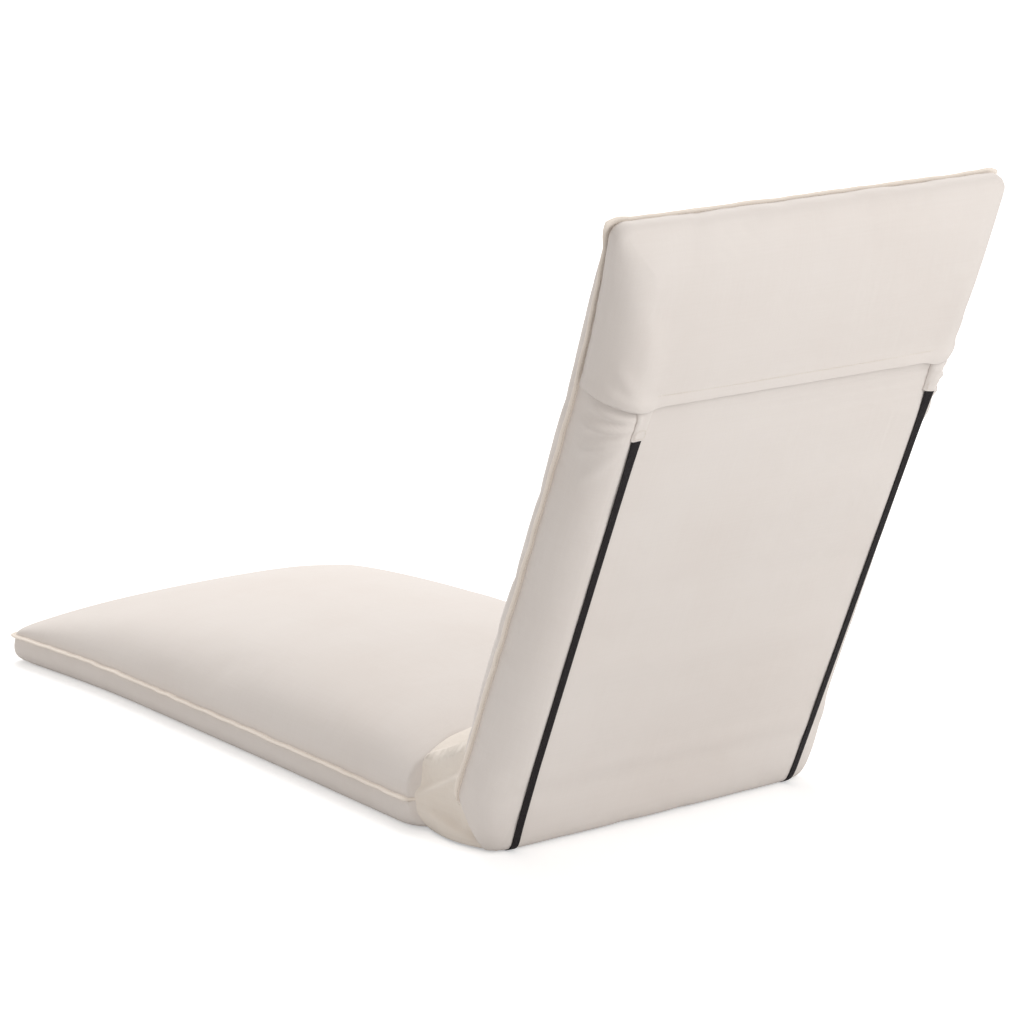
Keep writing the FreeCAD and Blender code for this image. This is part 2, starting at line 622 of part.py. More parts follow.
def hinge_pieces():
    pieces = {}
    for name, side in SIDES.items():
        x = side * RAIL_X
        span = 2 * CHEEK_OUTER
        off = CHEEK_INNER + CHEEK / 2
        pieces[name + "_outer_cheek"] = cheek(x + side * off)
        pieces[name + "_inner_cheek"] = cheek(x - side * off)
        pieces[name + "_pivot_rivet"] = headed_pin(x, 0, PIVOT_HEIGHT, RIVET, span)
        pieces[name + "_pivot_bushes"] = spacers(x)
        pieces[name + "_pawl"] = pawl(x)
        pieces[name + "_pawl_pin"] = headed_pin(x, HUB_Y, HUB_Z, PAWL_PIN, span)
        pieces[name + "_rail_rivets"] = Part.makeCompound(
            [headed_pin(x, y, SEAT_TUBE_Z, FRAME_RIVET, span) for y in RIVET_PLACES])
    return pieces


# Loose fabric that closes the hinge between the two covers

def gusset_pieces():
    tail_front = raised_point(BACK_TAIL + CLEAR, BACK_SEAM)
    tail_rear = raised_point(BACK_TAIL + CLEAR, BACK_LIFT + REAR_EDGE)
    seat_face = SEAT_START - CLEAR
    low = 3 * FABRIC
    side_panel = [(seat_face, low), (seat_face, SEAT_BAND + GUSSET_RISE), tail_front, tail_rear,
                  (tail_rear[0] + REAR_EDGE, low)]
    gusset_x = HALF - CORNER - GUSSET_INSET
    rear_end = raised_point(BACK_TAIL - REAR_EDGE, BACK_LIFT - CLEAR)
    rear_low = raised_point(BACK_TAIL, BACK_LIFT - CLEAR)
    under_z = 2 * FABRIC
    under = [(seat_face, under_z), (rear_low[0] + 1.5 * REAR_EDGE, under_z),
             (rear_low[0] + 0.5 * REAR_EDGE, under_z + FABRIC), rear_low, rear_end]
    crest = PIVOT_HEIGHT + CREASE_RISE
    back_z = BACK_SEAM + rise(CREASE_LAP, *BACK_HINGE_RISE) * BACK_CROWN
    seat_lap = LEG_INSET + LEG_WIDTH + CREASE_LAP
    seat_z = SEAT_BAND + rise(seat_lap, *SEAT_HINGE_RISE) * SEAT_CROWN
    crease = [raised_point(-BACK_CROWN_START - CREASE_LAP, back_z + CLEAR), (0, crest),
              (SEAT_START, crest), (SEAT_START + seat_lap, seat_z + CLEAR)]
    width = 2 * (STRAP_X - STRAP_WIDTH / 2 - SLOT_ROOM)
    pieces = {"hinge_under_panel": ribbon(under, FABRIC, 0, width),
              "hinge_crease_panel": ribbon(crease, FABRIC, 0, 2 * gusset_x)}
    for name, side in SIDES.items():
        pieces[name + "_hinge_gusset"] = plate(side_panel, side * gusset_x, 2 * FABRIC)
    return pieces


os.makedirs("parts", exist_ok=True)
lounger = {**seat_pieces(), **back_pieces(), **hinge_pieces(), **gusset_pieces()}
for node, shape in lounger.items():
    placed = shape.copy()
    placed.translate(Vec(0, -REST_MIDDLE, 0))
    placed.exportStep("parts/" + node + ".step")
    print(node, len(placed.Solids), placed.isValid(), round(placed.Volume / 1000, 1))
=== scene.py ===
import bpy
import math
import numpy as np
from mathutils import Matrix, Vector, noise
from mathutils.bvhtree import BVHTree


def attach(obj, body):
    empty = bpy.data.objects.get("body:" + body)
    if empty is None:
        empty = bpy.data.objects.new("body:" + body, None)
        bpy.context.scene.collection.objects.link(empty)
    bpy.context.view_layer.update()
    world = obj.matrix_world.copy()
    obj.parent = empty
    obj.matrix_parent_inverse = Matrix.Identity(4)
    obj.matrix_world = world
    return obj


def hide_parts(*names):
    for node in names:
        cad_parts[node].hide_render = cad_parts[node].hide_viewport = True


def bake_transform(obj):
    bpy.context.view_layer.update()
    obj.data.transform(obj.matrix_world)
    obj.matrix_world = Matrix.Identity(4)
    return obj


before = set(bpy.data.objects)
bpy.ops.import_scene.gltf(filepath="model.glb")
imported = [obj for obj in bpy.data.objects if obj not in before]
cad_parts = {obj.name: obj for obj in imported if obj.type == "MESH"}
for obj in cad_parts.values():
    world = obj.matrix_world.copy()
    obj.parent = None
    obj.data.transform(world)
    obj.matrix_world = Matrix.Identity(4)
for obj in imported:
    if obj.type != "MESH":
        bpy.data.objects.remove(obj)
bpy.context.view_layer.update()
bpy.ops.object.select_all(action="DESELECT")


# Seat pad
# A long foam cushion in a pale woven cover: a crowned top panel, a plain side band and a
# flat underside, sewn together along one flange seam whose far corners stand out as ears.
SEAT_START, SEAT_END = -0.476, 0.476
SEAT_BAND = 0.038
SEAT_CROWN = 0.094
SEAT_CELLS = (72, 130)
SEAT_FLOOR_EDGE = 0.012
SEAT_BAND_STEPS = (0.06, 0.18, 0.38, 0.62, 0.84)
SEAT_HINGE_RISE, SEAT_FOOT_RISE = (0.19, 0.34, 0.38), (0.66, 0.14, 0.62)
SEAT_HINGE_ROLL, FAR_ROLL = 0.030, 0.016
PAD_HALF = 0.264
PAD_WAIST = 0.004
EAR = 0.0175
EAR_RUN = 0.240
CROWN_BROADNESS, CROWN_SHOULDER = 2.73, 3.29
SEAT_HINGE_CORNER, FAR_CORNER, LOW_FAR_CORNER = 0.046, 0.012, 0.046
BAND_SWELL = 0.08
PAD_PRESSURE, PAD_SLACK, SEAT_SLACK, PAD_CAP = 2.2, 0.004, 0.0015, 0.012
EVEN_ROUNDS, SEAT_EVEN_RUN = 24, 0.02


def half_at(y, start, end):
    """Half the width of a pad's plan: sides drawn in, then flaring to the far corners."""
    middle, reach = (start + end) / 2, (end - start) / 2
    flare = np.clip(1 - (end - y) / EAR_RUN, 0, None)
    return PAD_HALF - PAD_WAIST * (1 - ((y - middle) / reach) ** 2) + EAR * flare ** 1.5


def rise(distance, run, foot, ease):
    """Share of the crown at a distance from one end of a cushion."""
    left_to_go = 1 - np.clip(distance, 0, run) / run
    return foot + (1 - foot) * (1 - left_to_go ** 2) ** ease


def turned_down(distance, run):
    """The last of the crown, rolling down to the seam."""
    return np.sqrt(1 - (1 - np.clip(distance / run, 0, 1)) ** 2.2)


def even_steps(profile, count, dense=4000):
    """Parameters that step evenly along a curve given by its points from 0 to 1."""
    t = np.linspace(0, 1, dense)
    points = np.array(profile(t))
    run = np.concatenate([[0], np.cumsum(np.linalg.norm(np.diff(points, axis=1), axis=0))])
    return np.interp(np.linspace(0, run[-1], count + 1), run, t)


def round_corners(x, y, half, start, end, near_corner, far_corner):
    """Pulls the plan's square corners in to their radii."""
    x, y = x.copy(), y.copy()
    for radius, rim, ahead in ((near_corner, start, -1), (far_corner, end, 1)):
        u = (np.abs(x) - (half - radius)) / radius
        v = (ahead * (y - rim) + radius) / radius
        inside = (u > 0) & (v > 0)
        a, b = u[inside], v[inside]
        x[inside] = np.sign(x[inside]) * (half[inside] - radius + radius * a * np.sqrt(1 - b * b / 2))
        y[inside] = rim + ahead * (radius * b * np.sqrt(1 - a * a / 2) - radius)
    return x, y


def new_piece(name, points, faces):
    mesh = bpy.data.meshes.new(name)
    mesh.from_pydata(points, [], faces)
    piece = bpy.data.objects.new(name, mesh)
    bpy.context.scene.collection.objects.link(piece)
    return piece


def pad_mesh(name, start, end, cells, base, band, crown_at, near_corner, edge, band_steps, belly):
    """A closed pad lying flat: crowned panel, side band and underside on one grid.
    Returns the object and the vertex numbers of its seam ring and its underside."""
    across, along = cells
    u = even_steps(lambda t: (t * PAD_HALF, 0.8 * SEAT_CROWN
                              * (1 - t ** CROWN_BROADNESS) ** (1 / CROWN_SHOULDER)), across // 2)
    p = np.concatenate([-u[:0:-1], u])
    v = even_steps(lambda t: (start + t * (end - start), crown_at(start + t * (end - start))), along)
    y_row = start + v * (end - start)
    grid_p, grid_y = np.meshgrid(p, y_row, indexing="ij")
    half = half_at(grid_y, start, end)
    x, y = round_corners(grid_p * half, grid_y, half, start, end, near_corner, FAR_CORNER)
    section = np.clip(1 - np.abs(grid_p) ** CROWN_BROADNESS, 0, 1) ** (1 / CROWN_SHOULDER)
    top = np.stack([x, y, base + band + crown_at(grid_y) * section], axis=-1)

    middle = (start + end) / 2
    shrink = 1 - edge / ((end - start) / 2)
    low_half = half_at(grid_y, start, end) - edge
    low_x, low_y = round_corners(grid_p * half, grid_y, half, start, end, near_corner + 1.3 * edge,
                                 LOW_FAR_CORNER)
    low_x = low_x * low_half / half
    low_y = middle + (low_y - middle) * shrink
    swell = belly * (1 - np.abs(grid_p) ** 4) * (1 - np.abs(2 * v - 1)[None, :] ** 6)
    under = np.stack([low_x, low_y, base - swell], axis=-1)

    ring = ([(i, 0) for i in range(across + 1)] + [(across, j) for j in range(1, along + 1)]
            + [(i, along) for i in range(across - 1, -1, -1)]
            + [(0, j) for j in range(along - 1, 0, -1)])
    seam = np.array([top[i, j] for i, j in ring])
    ahead = np.roll(seam, -1, 0) - np.roll(seam, 1, 0)
    out = np.stack([ahead[:, 1], -ahead[:, 0]], axis=-1)
    out /= np.linalg.norm(out, axis=1)[:, None]
    low_rim = np.array([under[i, j] for i, j in ring])
    rows = []
    for share in band_steps[::-1]:
        z = share * band
        drawn = 1 - math.sqrt(max(0, 1 - max(0, 1 - z / edge) ** 2))
        row = seam.copy()
        swollen = BAND_SWELL * band * math.sin(math.pi * share)
        row[:, :2] += (low_rim - seam)[:, :2] * drawn + out * swollen
        row[:, 2] = base + z
        rows.append(row)

    wide = along + 1
    top_number = np.arange((across + 1) * wide).reshape(across + 1, wide)
    row_numbers = [np.array([top_number[i, j] for i, j in ring])]
    count = top_number.size
    for row in rows:
        row_numbers.append(np.arange(count, count + len(ring)))
        count += len(ring)
    under_number = np.arange(count, count + top_number.size).reshape(across + 1, wide)
    row_numbers.append(np.array([under_number[i, j] for i, j in ring]))
    faces = []
    for i in range(across):
        for j in range(along):
            a, b = top_number, under_number
            faces.append((a[i, j], a[i + 1, j], a[i + 1, j + 1], a[i, j + 1]))
            faces.append((b[i, j], b[i, j + 1], b[i + 1, j + 1], b[i + 1, j]))
    for upper, lower in zip(row_numbers, row_numbers[1:]):
        for k in range(len(ring)):
            n = (k + 1) % len(ring)
            faces.append((upper[k], lower[k], lower[n], upper[n]))
    points = np.concatenate([top.reshape(-1, 3)] + rows + [under.reshape(-1, 3)])
    pad = new_piece(name, points.tolist(), [tuple(int(n) for n in face) for face in faces])
    return pad, row_numbers[0], under_number.ravel()


def coordinates(piece):
    points = np.zeros(len(piece.data.vertices) * 3)
    piece.data.vertices.foreach_get("co", points)
    return points.reshape(-1, 3)


def set_coordinates(piece, points):
    piece.data.vertices.foreach_set("co", np.ascontiguousarray(points, dtype=np.float32).ravel())
    piece.data.update()


def make_active(piece):
    bpy.ops.object.select_all(action="DESELECT")
    piece.select_set(True)
    bpy.context.view_layer.objects.active = piece


def edit_whole(piece, operator, **settings):
    """Runs one operator of edit mode on the whole of a piece."""
    make_active(piece)
    bpy.ops.object.mode_set(mode="EDIT")
    bpy.ops.mesh.select_all(action="SELECT")
    operator(**settings)
    bpy.ops.object.mode_set(mode="OBJECT")


def lay_weave(piece):
    """A UV map in metres, face by face, that the weave follows."""
    edit_whole(piece, bpy.ops.uv.cube_project, cube_size=1.0, correct_aspect=False)


def apply_modifier(piece, kind, **settings):
    make_active(piece)
    modifier = piece.modifiers.new(kind.title(), kind)
    for key, value in settings.items():
        setattr(modifier, key, value)
    bpy.ops.object.modifier_apply(modifier=modifier.name)


def blow_up(piece, sewn, pressure, slack, cap, stiffness=120.0, bend=8.0, frames=20):
    """Sewn cloth under the push of its filling, held along its seams."""
    before = coordinates(piece)
    group = piece.vertex_groups.new(name="sewn")
    group.add([int(n) for n in sewn], 1.0, "REPLACE")
    make_active(piece)
    cloth = piece.modifiers.new("Cloth", "CLOTH")
    set_up = {"quality": 6, "mass": 0.3, "tension_stiffness": stiffness,
              "compression_stiffness": stiffness, "shear_stiffness": stiffness / 2,
              "bending_stiffness": bend, "air_damping": 2.0, "vertex_group_mass": "sewn",
              "use_pressure": True, "uniform_pressure_force": pressure, "shrink_min": -slack}
    for key, value in set_up.items():
        setattr(cloth.settings, key, value)
    cloth.settings.effector_weights.gravity = 0
    cloth.collision_settings.use_collision = False
    scene = bpy.context.scene
    scene.frame_start, scene.frame_end = 1, frames
    for step in range(1, frames + 1):
        scene.frame_set(step)
    bpy.ops.object.modifier_apply(modifier="Cloth")
    scene.frame_set(1)
    piece.vertex_groups.clear()
    moved = coordinates(piece) - before
    far = np.linalg.norm(moved, axis=1)
    keep = np.minimum(1, cap / np.maximum(far, 1e-9))
    set_coordinates(piece, before + moved * keep[:, None])


def refine(piece):
    apply_modifier(piece, "SUBSURF", levels=1, render_levels=1)
    bpy.ops.object.shade_smooth()


def even_out(piece, share, rounds):
    """Evens out the dents of a cover by a share of each point's way to its neighbours' middle."""
    edges = np.zeros(len(piece.data.edges) * 2, dtype=np.int32)
    piece.data.edges.foreach_get("vertices", edges)
    a, b = edges.reshape(-1, 2).T
    here, there = np.concatenate([a, b]), np.concatenate([b, a])
    points = coordinates(piece)
    met = np.bincount(here, minlength=len(points))[:, None]
    for _ in range(rounds):
        middle = [np.bincount(here, points[there, k], len(points)) for k in range(3)]
        points += (np.stack(middle, axis=-1) / met - points) * share[:, None]
    set_coordinates(piece, points)


def new_group(name, inputs, outputs):
    """An empty shader node group with named sockets."""
    tree = bpy.data.node_groups.new(name, "ShaderNodeTree")
    for socket, kind, value in inputs:
        made = tree.interface.new_socket(socket, in_out="INPUT", socket_type=kind)
        made.default_value = value
    for socket, kind in outputs:
        tree.interface.new_socket(socket, in_out="OUTPUT", socket_type=kind)
    return tree, tree.nodes.new("NodeGroupInput"), tree.nodes.new("NodeGroupOutput")


def feed(tree, node, **inputs):
    """Sets a node's sockets, by number or name, to values or links them to other sockets."""
    for key, value in inputs.items():
        socket = node.inputs[int(key[1:]) if key[1:].isdigit() else key.replace("_", " ")]
        if isinstance(value, bpy.types.NodeSocket):
            tree.links.new(value, socket)
        else:
            socket.default_value = value


def put(tree, kind, settings=None, **inputs):
    node = tree.nodes.new(kind)
    for key, value in (settings or {}).items():
        setattr(node, key, value)
    feed(tree, node, **inputs)
    return node


def maths(tree, operation, a, b=0.0):
    return put(tree, "ShaderNodeMath", {"operation": operation}, i0=a, i1=b).outputs[0]


def place_on(tree, kind="Object"):
    return put(tree, "ShaderNodeTexCoord").outputs[kind]


def speckle(tree, place, scale, detail, settings=None, **more):
    return put(tree, "ShaderNodeTexNoise", settings, Vector=place, Scale=scale, Detail=detail,
               **more).outputs["Fac"]


def spread(tree, value, low, high, first, last):
    """A value from low to high, taken to the span from first to last."""
    return put(tree, "ShaderNodeMapRange", Value=value, i1=low, i2=high, i3=first, i4=last).outputs[0]


def mix_colours(tree, share, one, other):
    return put(tree, "ShaderNodeMix", {"data_type": "RGBA"}, Factor=share, i6=one, i7=other).outputs[2]


def build_weave():
    """Plain weave: threads over and under each other, some thicker than others."""
    tree, given, made = new_group(
        "plain_weave", [("Threads", "NodeSocketFloat", 900.0)],
        [("Height", "NodeSocketFloat"), ("Slub", "NodeSocketFloat")])
    uv = place_on(tree, "UV")
    split = put(tree, "ShaderNodeSeparateXYZ", Vector=uv)
    pitch = maths(tree, "MULTIPLY", given.outputs["Threads"], math.pi)
    waves = [maths(tree, "COSINE", maths(tree, "MULTIPLY", split.outputs[k], pitch)) for k in (0, 1)]
    over = maths(tree, "ABSOLUTE", maths(tree, "MULTIPLY", *waves))
    slubs = []
    for across, along in ((420.0, 9.0), (9.0, 420.0)):
        stretched = put(tree, "ShaderNodeMapping", Vector=uv, Scale=(across, along, 1.0))
        slubs.append(speckle(tree, stretched.outputs[0], 1.0, 2.0))
    slub = maths(tree, "MULTIPLY", maths(tree, "ADD", *slubs), 0.5)
    feed(tree, made, Height=maths(tree, "ADD", maths(tree, "SQRT", over), slub), Slub=slub)
    return tree


def build_creases():
    """Faint creases and hand marks of cloth that has been folded away and put out again."""
    tree, given, made = new_group(
        "soft_creases", [("Scale", "NodeSocketFloat", 18.0)], [("Height", "NodeSocketFloat")])
    place, scale = place_on(tree), given.outputs["Scale"]
    broad = speckle(tree, place, scale, 3.0, Roughness=0.55, Distortion=0.8)
    fine = speckle(tree, place, maths(tree, "MULTIPLY", scale, 4.3), 2.0,
                   {"noise_type": "RIDGED_MULTIFRACTAL"})
    feed(tree, made, Height=maths(tree, "ADD", broad, maths(tree, "MULTIPLY", fine, 0.10)))
    return tree


def build_use():
    """Colour drift over the cloth and a little ground dust low down."""
    tree, given, made = new_group(
        "cloth_use", [("Cloth", "NodeSocketColor", (0.8, 0.8, 0.8, 1)),
                      ("Deep", "NodeSocketColor", (0.6, 0.6, 0.6, 1)),
                      ("Dust", "NodeSocketColor", (0.5, 0.45, 0.4, 1)),
                      ("Slub", "NodeSocketFloat", 0.5)],
        [("Color", "NodeSocketColor"), ("Roughness", "NodeSocketFloat")])
    place = place_on(tree)
    drift = spread(tree, speckle(tree, place, 5.5, 4.0), 0.35, 0.72, 0.0, 0.30)
    threads = spread(tree, given.outputs["Slub"], 0.3, 0.7, 0.0, 0.20)
    amount = maths(tree, "ADD", drift, threads)
    base = mix_colours(tree, amount, given.outputs["Cloth"], given.outputs["Deep"])
    height = put(tree, "ShaderNodeSeparateXYZ", Vector=place).outputs["Z"]
    low = spread(tree, height, 0.0, 0.035, 0.20, 0.0)
    dust = maths(tree, "MULTIPLY", low, speckle(tree, place, 38.0, 5.0))
    feed(tree, made, Color=mix_colours(tree, dust, base, given.outputs["Dust"]),
         Roughness=spread(tree, amount, 0.0, 0.6, 0.80, 0.94))
    return tree


WEAVE, CREASES, USE = build_weave(), build_creases(), build_use()


def new_material(name):
    material = bpy.data.materials.new(name)
    material.use_nodes = True
    tree = material.node_tree
    return material, tree, tree.nodes["Principled BSDF"]


def cloth_material(name, colour, deep, dust, threads, crease_scale, crease_depth, sheen):
    """Woven cloth with its own colours, thread count and creasing."""
    material, tree, shader = new_material(name)
    weave = put(tree, "ShaderNodeGroup", {"node_tree": WEAVE}, Threads=threads)
    creases = put(tree, "ShaderNodeGroup", {"node_tree": CREASES}, Scale=crease_scale)
    use = put(tree, "ShaderNodeGroup", {"node_tree": USE}, Cloth=colour, Deep=deep, Dust=dust,
              Slub=weave.outputs["Slub"])
    rumple = put(tree, "ShaderNodeBump", Strength=0.35, Distance=crease_depth,
                 Height=creases.outputs["Height"])
    relief = put(tree, "ShaderNodeBump", Strength=0.30, Distance=0.0003,
                 Height=weave.outputs["Height"], Normal=rumple.outputs["Normal"])
    feed(tree, shader, Base_Color=use.outputs["Color"], Roughness=use.outputs["Roughness"],
         Normal=relief.outputs["Normal"], Specular_IOR_Level=0.25, Sheen_Weight=sheen, Sheen_Roughness=0.6)
    return material


def dress(piece, material):
    piece.data.materials.clear()
    piece.data.materials.append(material)


GROUND_DUST = (0.42, 0.36, 0.30, 1)
COVER_THREADS = 900.0
cover_cloth = cloth_material("cream_cover_cloth", (0.790, 0.742, 0.705, 1), (0.72, 0.65, 0.60, 1),
                             GROUND_DUST, COVER_THREADS, 9.0, 0.004, 0.12)


def seat_crown_at(y):
    from_hinge, from_foot = y - SEAT_START, SEAT_END - y
    share = np.minimum(rise(from_hinge, *SEAT_HINGE_RISE), rise(from_foot, *SEAT_FOOT_RISE))
    return SEAT_CROWN * share * turned_down(from_hinge, SEAT_HINGE_ROLL) * turned_down(from_foot, FAR_ROLL)


seat_pad, seat_seam, seat_under = pad_mesh(
    "seat_pad", SEAT_START, SEAT_END, SEAT_CELLS, 0.0, SEAT_BAND, seat_crown_at,
    SEAT_HINGE_CORNER, SEAT_FLOOR_EDGE, SEAT_BAND_STEPS, 0.0)
lay_weave(seat_pad)
seat_seam_line = coordinates(seat_pad)[seat_seam]
blow_up(seat_pad, np.concatenate([seat_seam, seat_under]), PAD_PRESSURE, SEAT_SLACK, PAD_CAP)
refine(seat_pad)
above_band = (coordinates(seat_pad)[:, 2] - SEAT_BAND) / SEAT_EVEN_RUN
even_out(seat_pad, np.clip(above_band - 0.5, 0, 1), EVEN_ROUNDS)
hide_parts("seat_cover_base", "seat_cover_top", "seat_cushion", "seat_felt",
            "seat_bed_foam")
dress(seat_pad, cover_cloth)
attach(seat_pad, "seat")


# Seat seam
# The flange where top panel and side band are sewn face to face and left standing, a narrow
# double edge with a row of stitches on each face, drawn out to a point at the foot corners.
FLANGE_OUT, FLANGE_TUCK, FLANGE_HALF = 0.0070, 0.004, 0.0017
SEAT_EAR_TIP, EAR_TIP_RUN = 0.001, 0.026
FLANGE_FADE, FLANGE_STEP = 0.030, 0.004
FLANGE_UNEVEN, FLANGE_WAVE = 0.16, 0.0011
SEAT_SEAM_INSET, SEAT_SEAM_SEED = 0.012, 3.1
STITCH_LENGTH, STITCH_GAP, STITCH_RADIUS, STITCH_PLACE = 0.0032, 0.0012, 0.00035, 0.45


def along_path(points, spacing):
    """A line of points taken again at even spacing."""
    run = np.concatenate([[0], np.cumsum(np.linalg.norm(np.diff(points, axis=0), axis=1))])
    count = max(2, int(run[-1] / spacing))
    places = np.linspace(0, run[-1], count + 1)
    return np.stack([np.interp(places, run, points[:, k]) for k in range(3)], axis=-1), places


def strip_mesh(name, sections, closed_section=True):
    """A swept piece from its sections, one row of points per station."""
    stations, wide = sections.shape[:2]
    faces = []
    for k in range(stations - 1):
        for m in range(wide if closed_section else wide - 1):
            n = (m + 1) % wide
            faces.append((k * wide + m, k * wide + n, (k + 1) * wide + n, (k + 1) * wide + m))
    if closed_section:
        faces.append(tuple(range(wide))[::-1])
        faces.append(tuple((stations - 1) * wide + m for m in range(wide)))
    return new_piece(name, sections.reshape(-1, 3).tolist(), faces)


def wander(places, pitch, seed):
    """A slow unevenness along a hand-fed seam."""
    return np.array([noise.noise(Vector((at / pitch, seed, 0.5))) for at in places])


def flange_lines(seam_line, far_end, ear_tip, seed):
    """The flange's middle line, its outward direction and its reach at each station."""
    line, places = along_path(seam_line, FLANGE_STEP)
    ahead = np.gradient(line, axis=0)
    out = np.stack([ahead[:, 1], -ahead[:, 0], np.zeros(len(line))], axis=-1)
    for _ in range(3):
        out[1:-1] = (out[:-2] + out[1:-1] + out[2:]) / 3
    out /= np.linalg.norm(out, axis=1)[:, None]
    reach = FLANGE_OUT * (1 + FLANGE_UNEVEN * wander(places, 0.035, seed))
    corner = far_end - np.abs(line[:, 1] - far_end)
    side = np.abs(line[:, 0])
    for hand in (-1, 1):
        on_hand = np.where(line[:, 0] * hand > 0)[0]
        tip = on_hand[np.argmax(side[on_hand] + corner[on_hand])]
        away = np.abs(places - places[tip])
        pull = np.clip(1 - away / EAR_TIP_RUN, 0, 1) ** 1.6
        reach = reach + ear_tip * pull
        out = out + (out[tip] - out) * pull[:, None]
    out /= np.linalg.norm(out, axis=1)[:, None]
    line = line + np.array([0, 0, 1]) * (FLANGE_WAVE * wander(places, 0.024, seed + 7))[:, None]
    from_end = np.minimum(places, places[-1] - places)
    return line, out, reach * np.clip(from_end / FLANGE_FADE, 0.05, 1) ** 0.6


def flange_piece(name, line, out, reach):
    """Double edge: flat faces, a rounded fold outside and a root inside the pad."""
    up = np.array([0, 0, FLANGE_HALF])
    profile = [(-FLANGE_TUCK, -1.0), (0.0, -0.9), (0.62, -1.0), (0.92, -0.62), (1.0, 0.0),
               (0.92, 0.62), (0.62, 1.0), (0.0, 0.9), (-FLANGE_TUCK, 1.0)]
    sections = []
    for share, height in profile:
        step = out * (share * reach)[:, None] if share >= 0 else out * share
        sections.append(line + step + up * height)
    return strip_mesh(name, np.stack(sections, axis=1))


def stitch_row(name, line, normal):
    """Thread stitches end to end along a line, each a small lens of thread."""
    path, _ = along_path(line, STITCH_LENGTH + STITCH_GAP)
    points, faces = [], []
    for k in range(len(path) - 1):
        start, end = path[k], path[k + 1]
        ahead = (end - start) / np.linalg.norm(end - start)
        up = normal - ahead * np.dot(normal, ahead)
        up /= np.linalg.norm(up)
        aside = np.cross(ahead, up)
        first = len(points)
        for share, width in ((0.12, 0.45), (0.5, 1.0), (0.88, 0.45)):
            middle = start + (end - start) * share + up * STITCH_RADIUS * (width - 0.4)
            for a, b in ((1, 0), (0, 1), (-1, 0), (0, -1)):
                points.append(middle + STITCH_RADIUS * width * (a * aside * 1.3 + b * up))
        for ring in (0, 4):
            for m in range(4):
                n = (m + 1) % 4
                faces.append((first + ring + m, first + ring + n, first + ring + 4 + n,
                              first + ring + 4 + m))
        faces.append((first + 3, first + 2, first + 1, first))
        faces.append((first + 8, first + 9, first + 10, first + 11))
    return new_piece(name, [tuple(v) for v in points], faces)


def stitch_both_faces(names, line, out):
    """A row of stitches along each face of a flange."""
    rows = []
    for name, face in zip(names, (1, -1)):
        lift = np.array([0, 0, face * FLANGE_HALF])
        place = line + out * (STITCH_PLACE * FLANGE_OUT) + lift
        rows.append(stitch_row(name, place, np.array([0, 0, face])))
    return rows


def recalculate_normals(piece):
    edit_whole(piece, bpy.ops.mesh.normals_make_consistent, inside=False)


def smooth_over(piece):
    make_active(piece)
    bpy.ops.object.shade_smooth_by_angle(angle=math.radians(50))


def open_seam(ring, across, inset, start):
    """A pad's seam without its hinge end: down one side, round the far end and back."""
    line = np.concatenate([ring[across:], ring[:1]])
    return line[line[:, 1] > start + inset]


# The seam's cloth is the cover cloth painted lighter: painted light standing in for the light that the
# standing flange catches.
seam_cloth_painted_light = cloth_material("cream_seam_cloth_painted_light", (0.92, 0.845, 0.765, 1), (0.84, 0.75, 0.66, 1),
                            GROUND_DUST, COVER_THREADS, 60.0, 0.0012, 0.10)
thread = cloth_material("cream_thread", (0.78, 0.72, 0.65, 1), (0.66, 0.59, 0.51, 1), GROUND_DUST,
                        2600.0, 300.0, 0.0002, 0.15)
seat_line = open_seam(seat_seam_line, SEAT_CELLS[0], SEAT_SEAM_INSET, SEAT_START)
line, out, reach = flange_lines(seat_line, SEAT_END, SEAT_EAR_TIP, SEAT_SEAM_SEED)
seat_seam_edge = flange_piece("seat_seam_edge", line, out, reach)
recalculate_normals(seat_seam_edge)
lay_weave(seat_seam_edge)
smooth_over(seat_seam_edge)
seat_stitches = stitch_both_faces(("seat_stitches_upper", "seat_stitches_lower"), line, out)
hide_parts("seat_flange_seam")
dress(seat_seam_edge, seam_cloth_painted_light)
for piece in [seat_seam_edge] + seat_stitches:
    recalculate_normals(piece)
    if piece != seat_seam_edge:
        lay_weave(piece)
        dress(piece, thread)
    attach(piece, "seat")


# Back pad
# A second cushion of the same cover cloth, thicker in its boxing and rounded into a plain
# rear panel. Its tail is loose cloth that rests on the floor behind the hinge.
BACK_START, BACK_END = -0.037, 0.777
BACK_LIFT = 0.004
BACK_BAND = 0.062
BACK_CROWN = 0.060
BACK_CELLS = (72, 112)
BACK_BAND_STEPS = (0.03, 0.10, 0.21, 0.36, 0.54, 0.74, 0.90)
BACK_HINGE_RISE, BACK_TOP_RISE = (0.30, 0.20, 0.42), (0.24, 0.18, 0.60)
BACK_CROWN_START, BACK_HINGE_ROLL = 0.05, 0.060
BACK_HINGE_CORNER, BACK_REAR_EDGE, BACK_BELLY = 0.030, 0.034, 0.003
BACK_FIRM_HALF = 0.210
EDGE_SIDE, EDGE_LOW, EDGE_RUN = 0.17, 0.03, 0.03
EDGE_FRONT, EDGE_FRONT_RUN, FOLD_FRONT = 0.045, 0.012, 0.058
STRAP_PLACES = {"left": (-0.214, -0.218), "right": (0.227, 0.222)}
PIVOT = Vector((0, -0.518, 0.100))
RAISE = math.radians(67)
TAIL_TOP, TAIL_RUN, TAIL_REST, TAIL_FRONT = 0.018, 0.052, 0.0018, 0.034
TAIL_GATHER = {"left": 0.020, "right": 0.007}
TAIL_GATHER_FROM, TAIL_GATHER_RUN, TAIL_FORWARD = 0.200, 0.060, 0.004
TOP_DRAW, TOP_DRAW_RUN = 0.026, 0.192


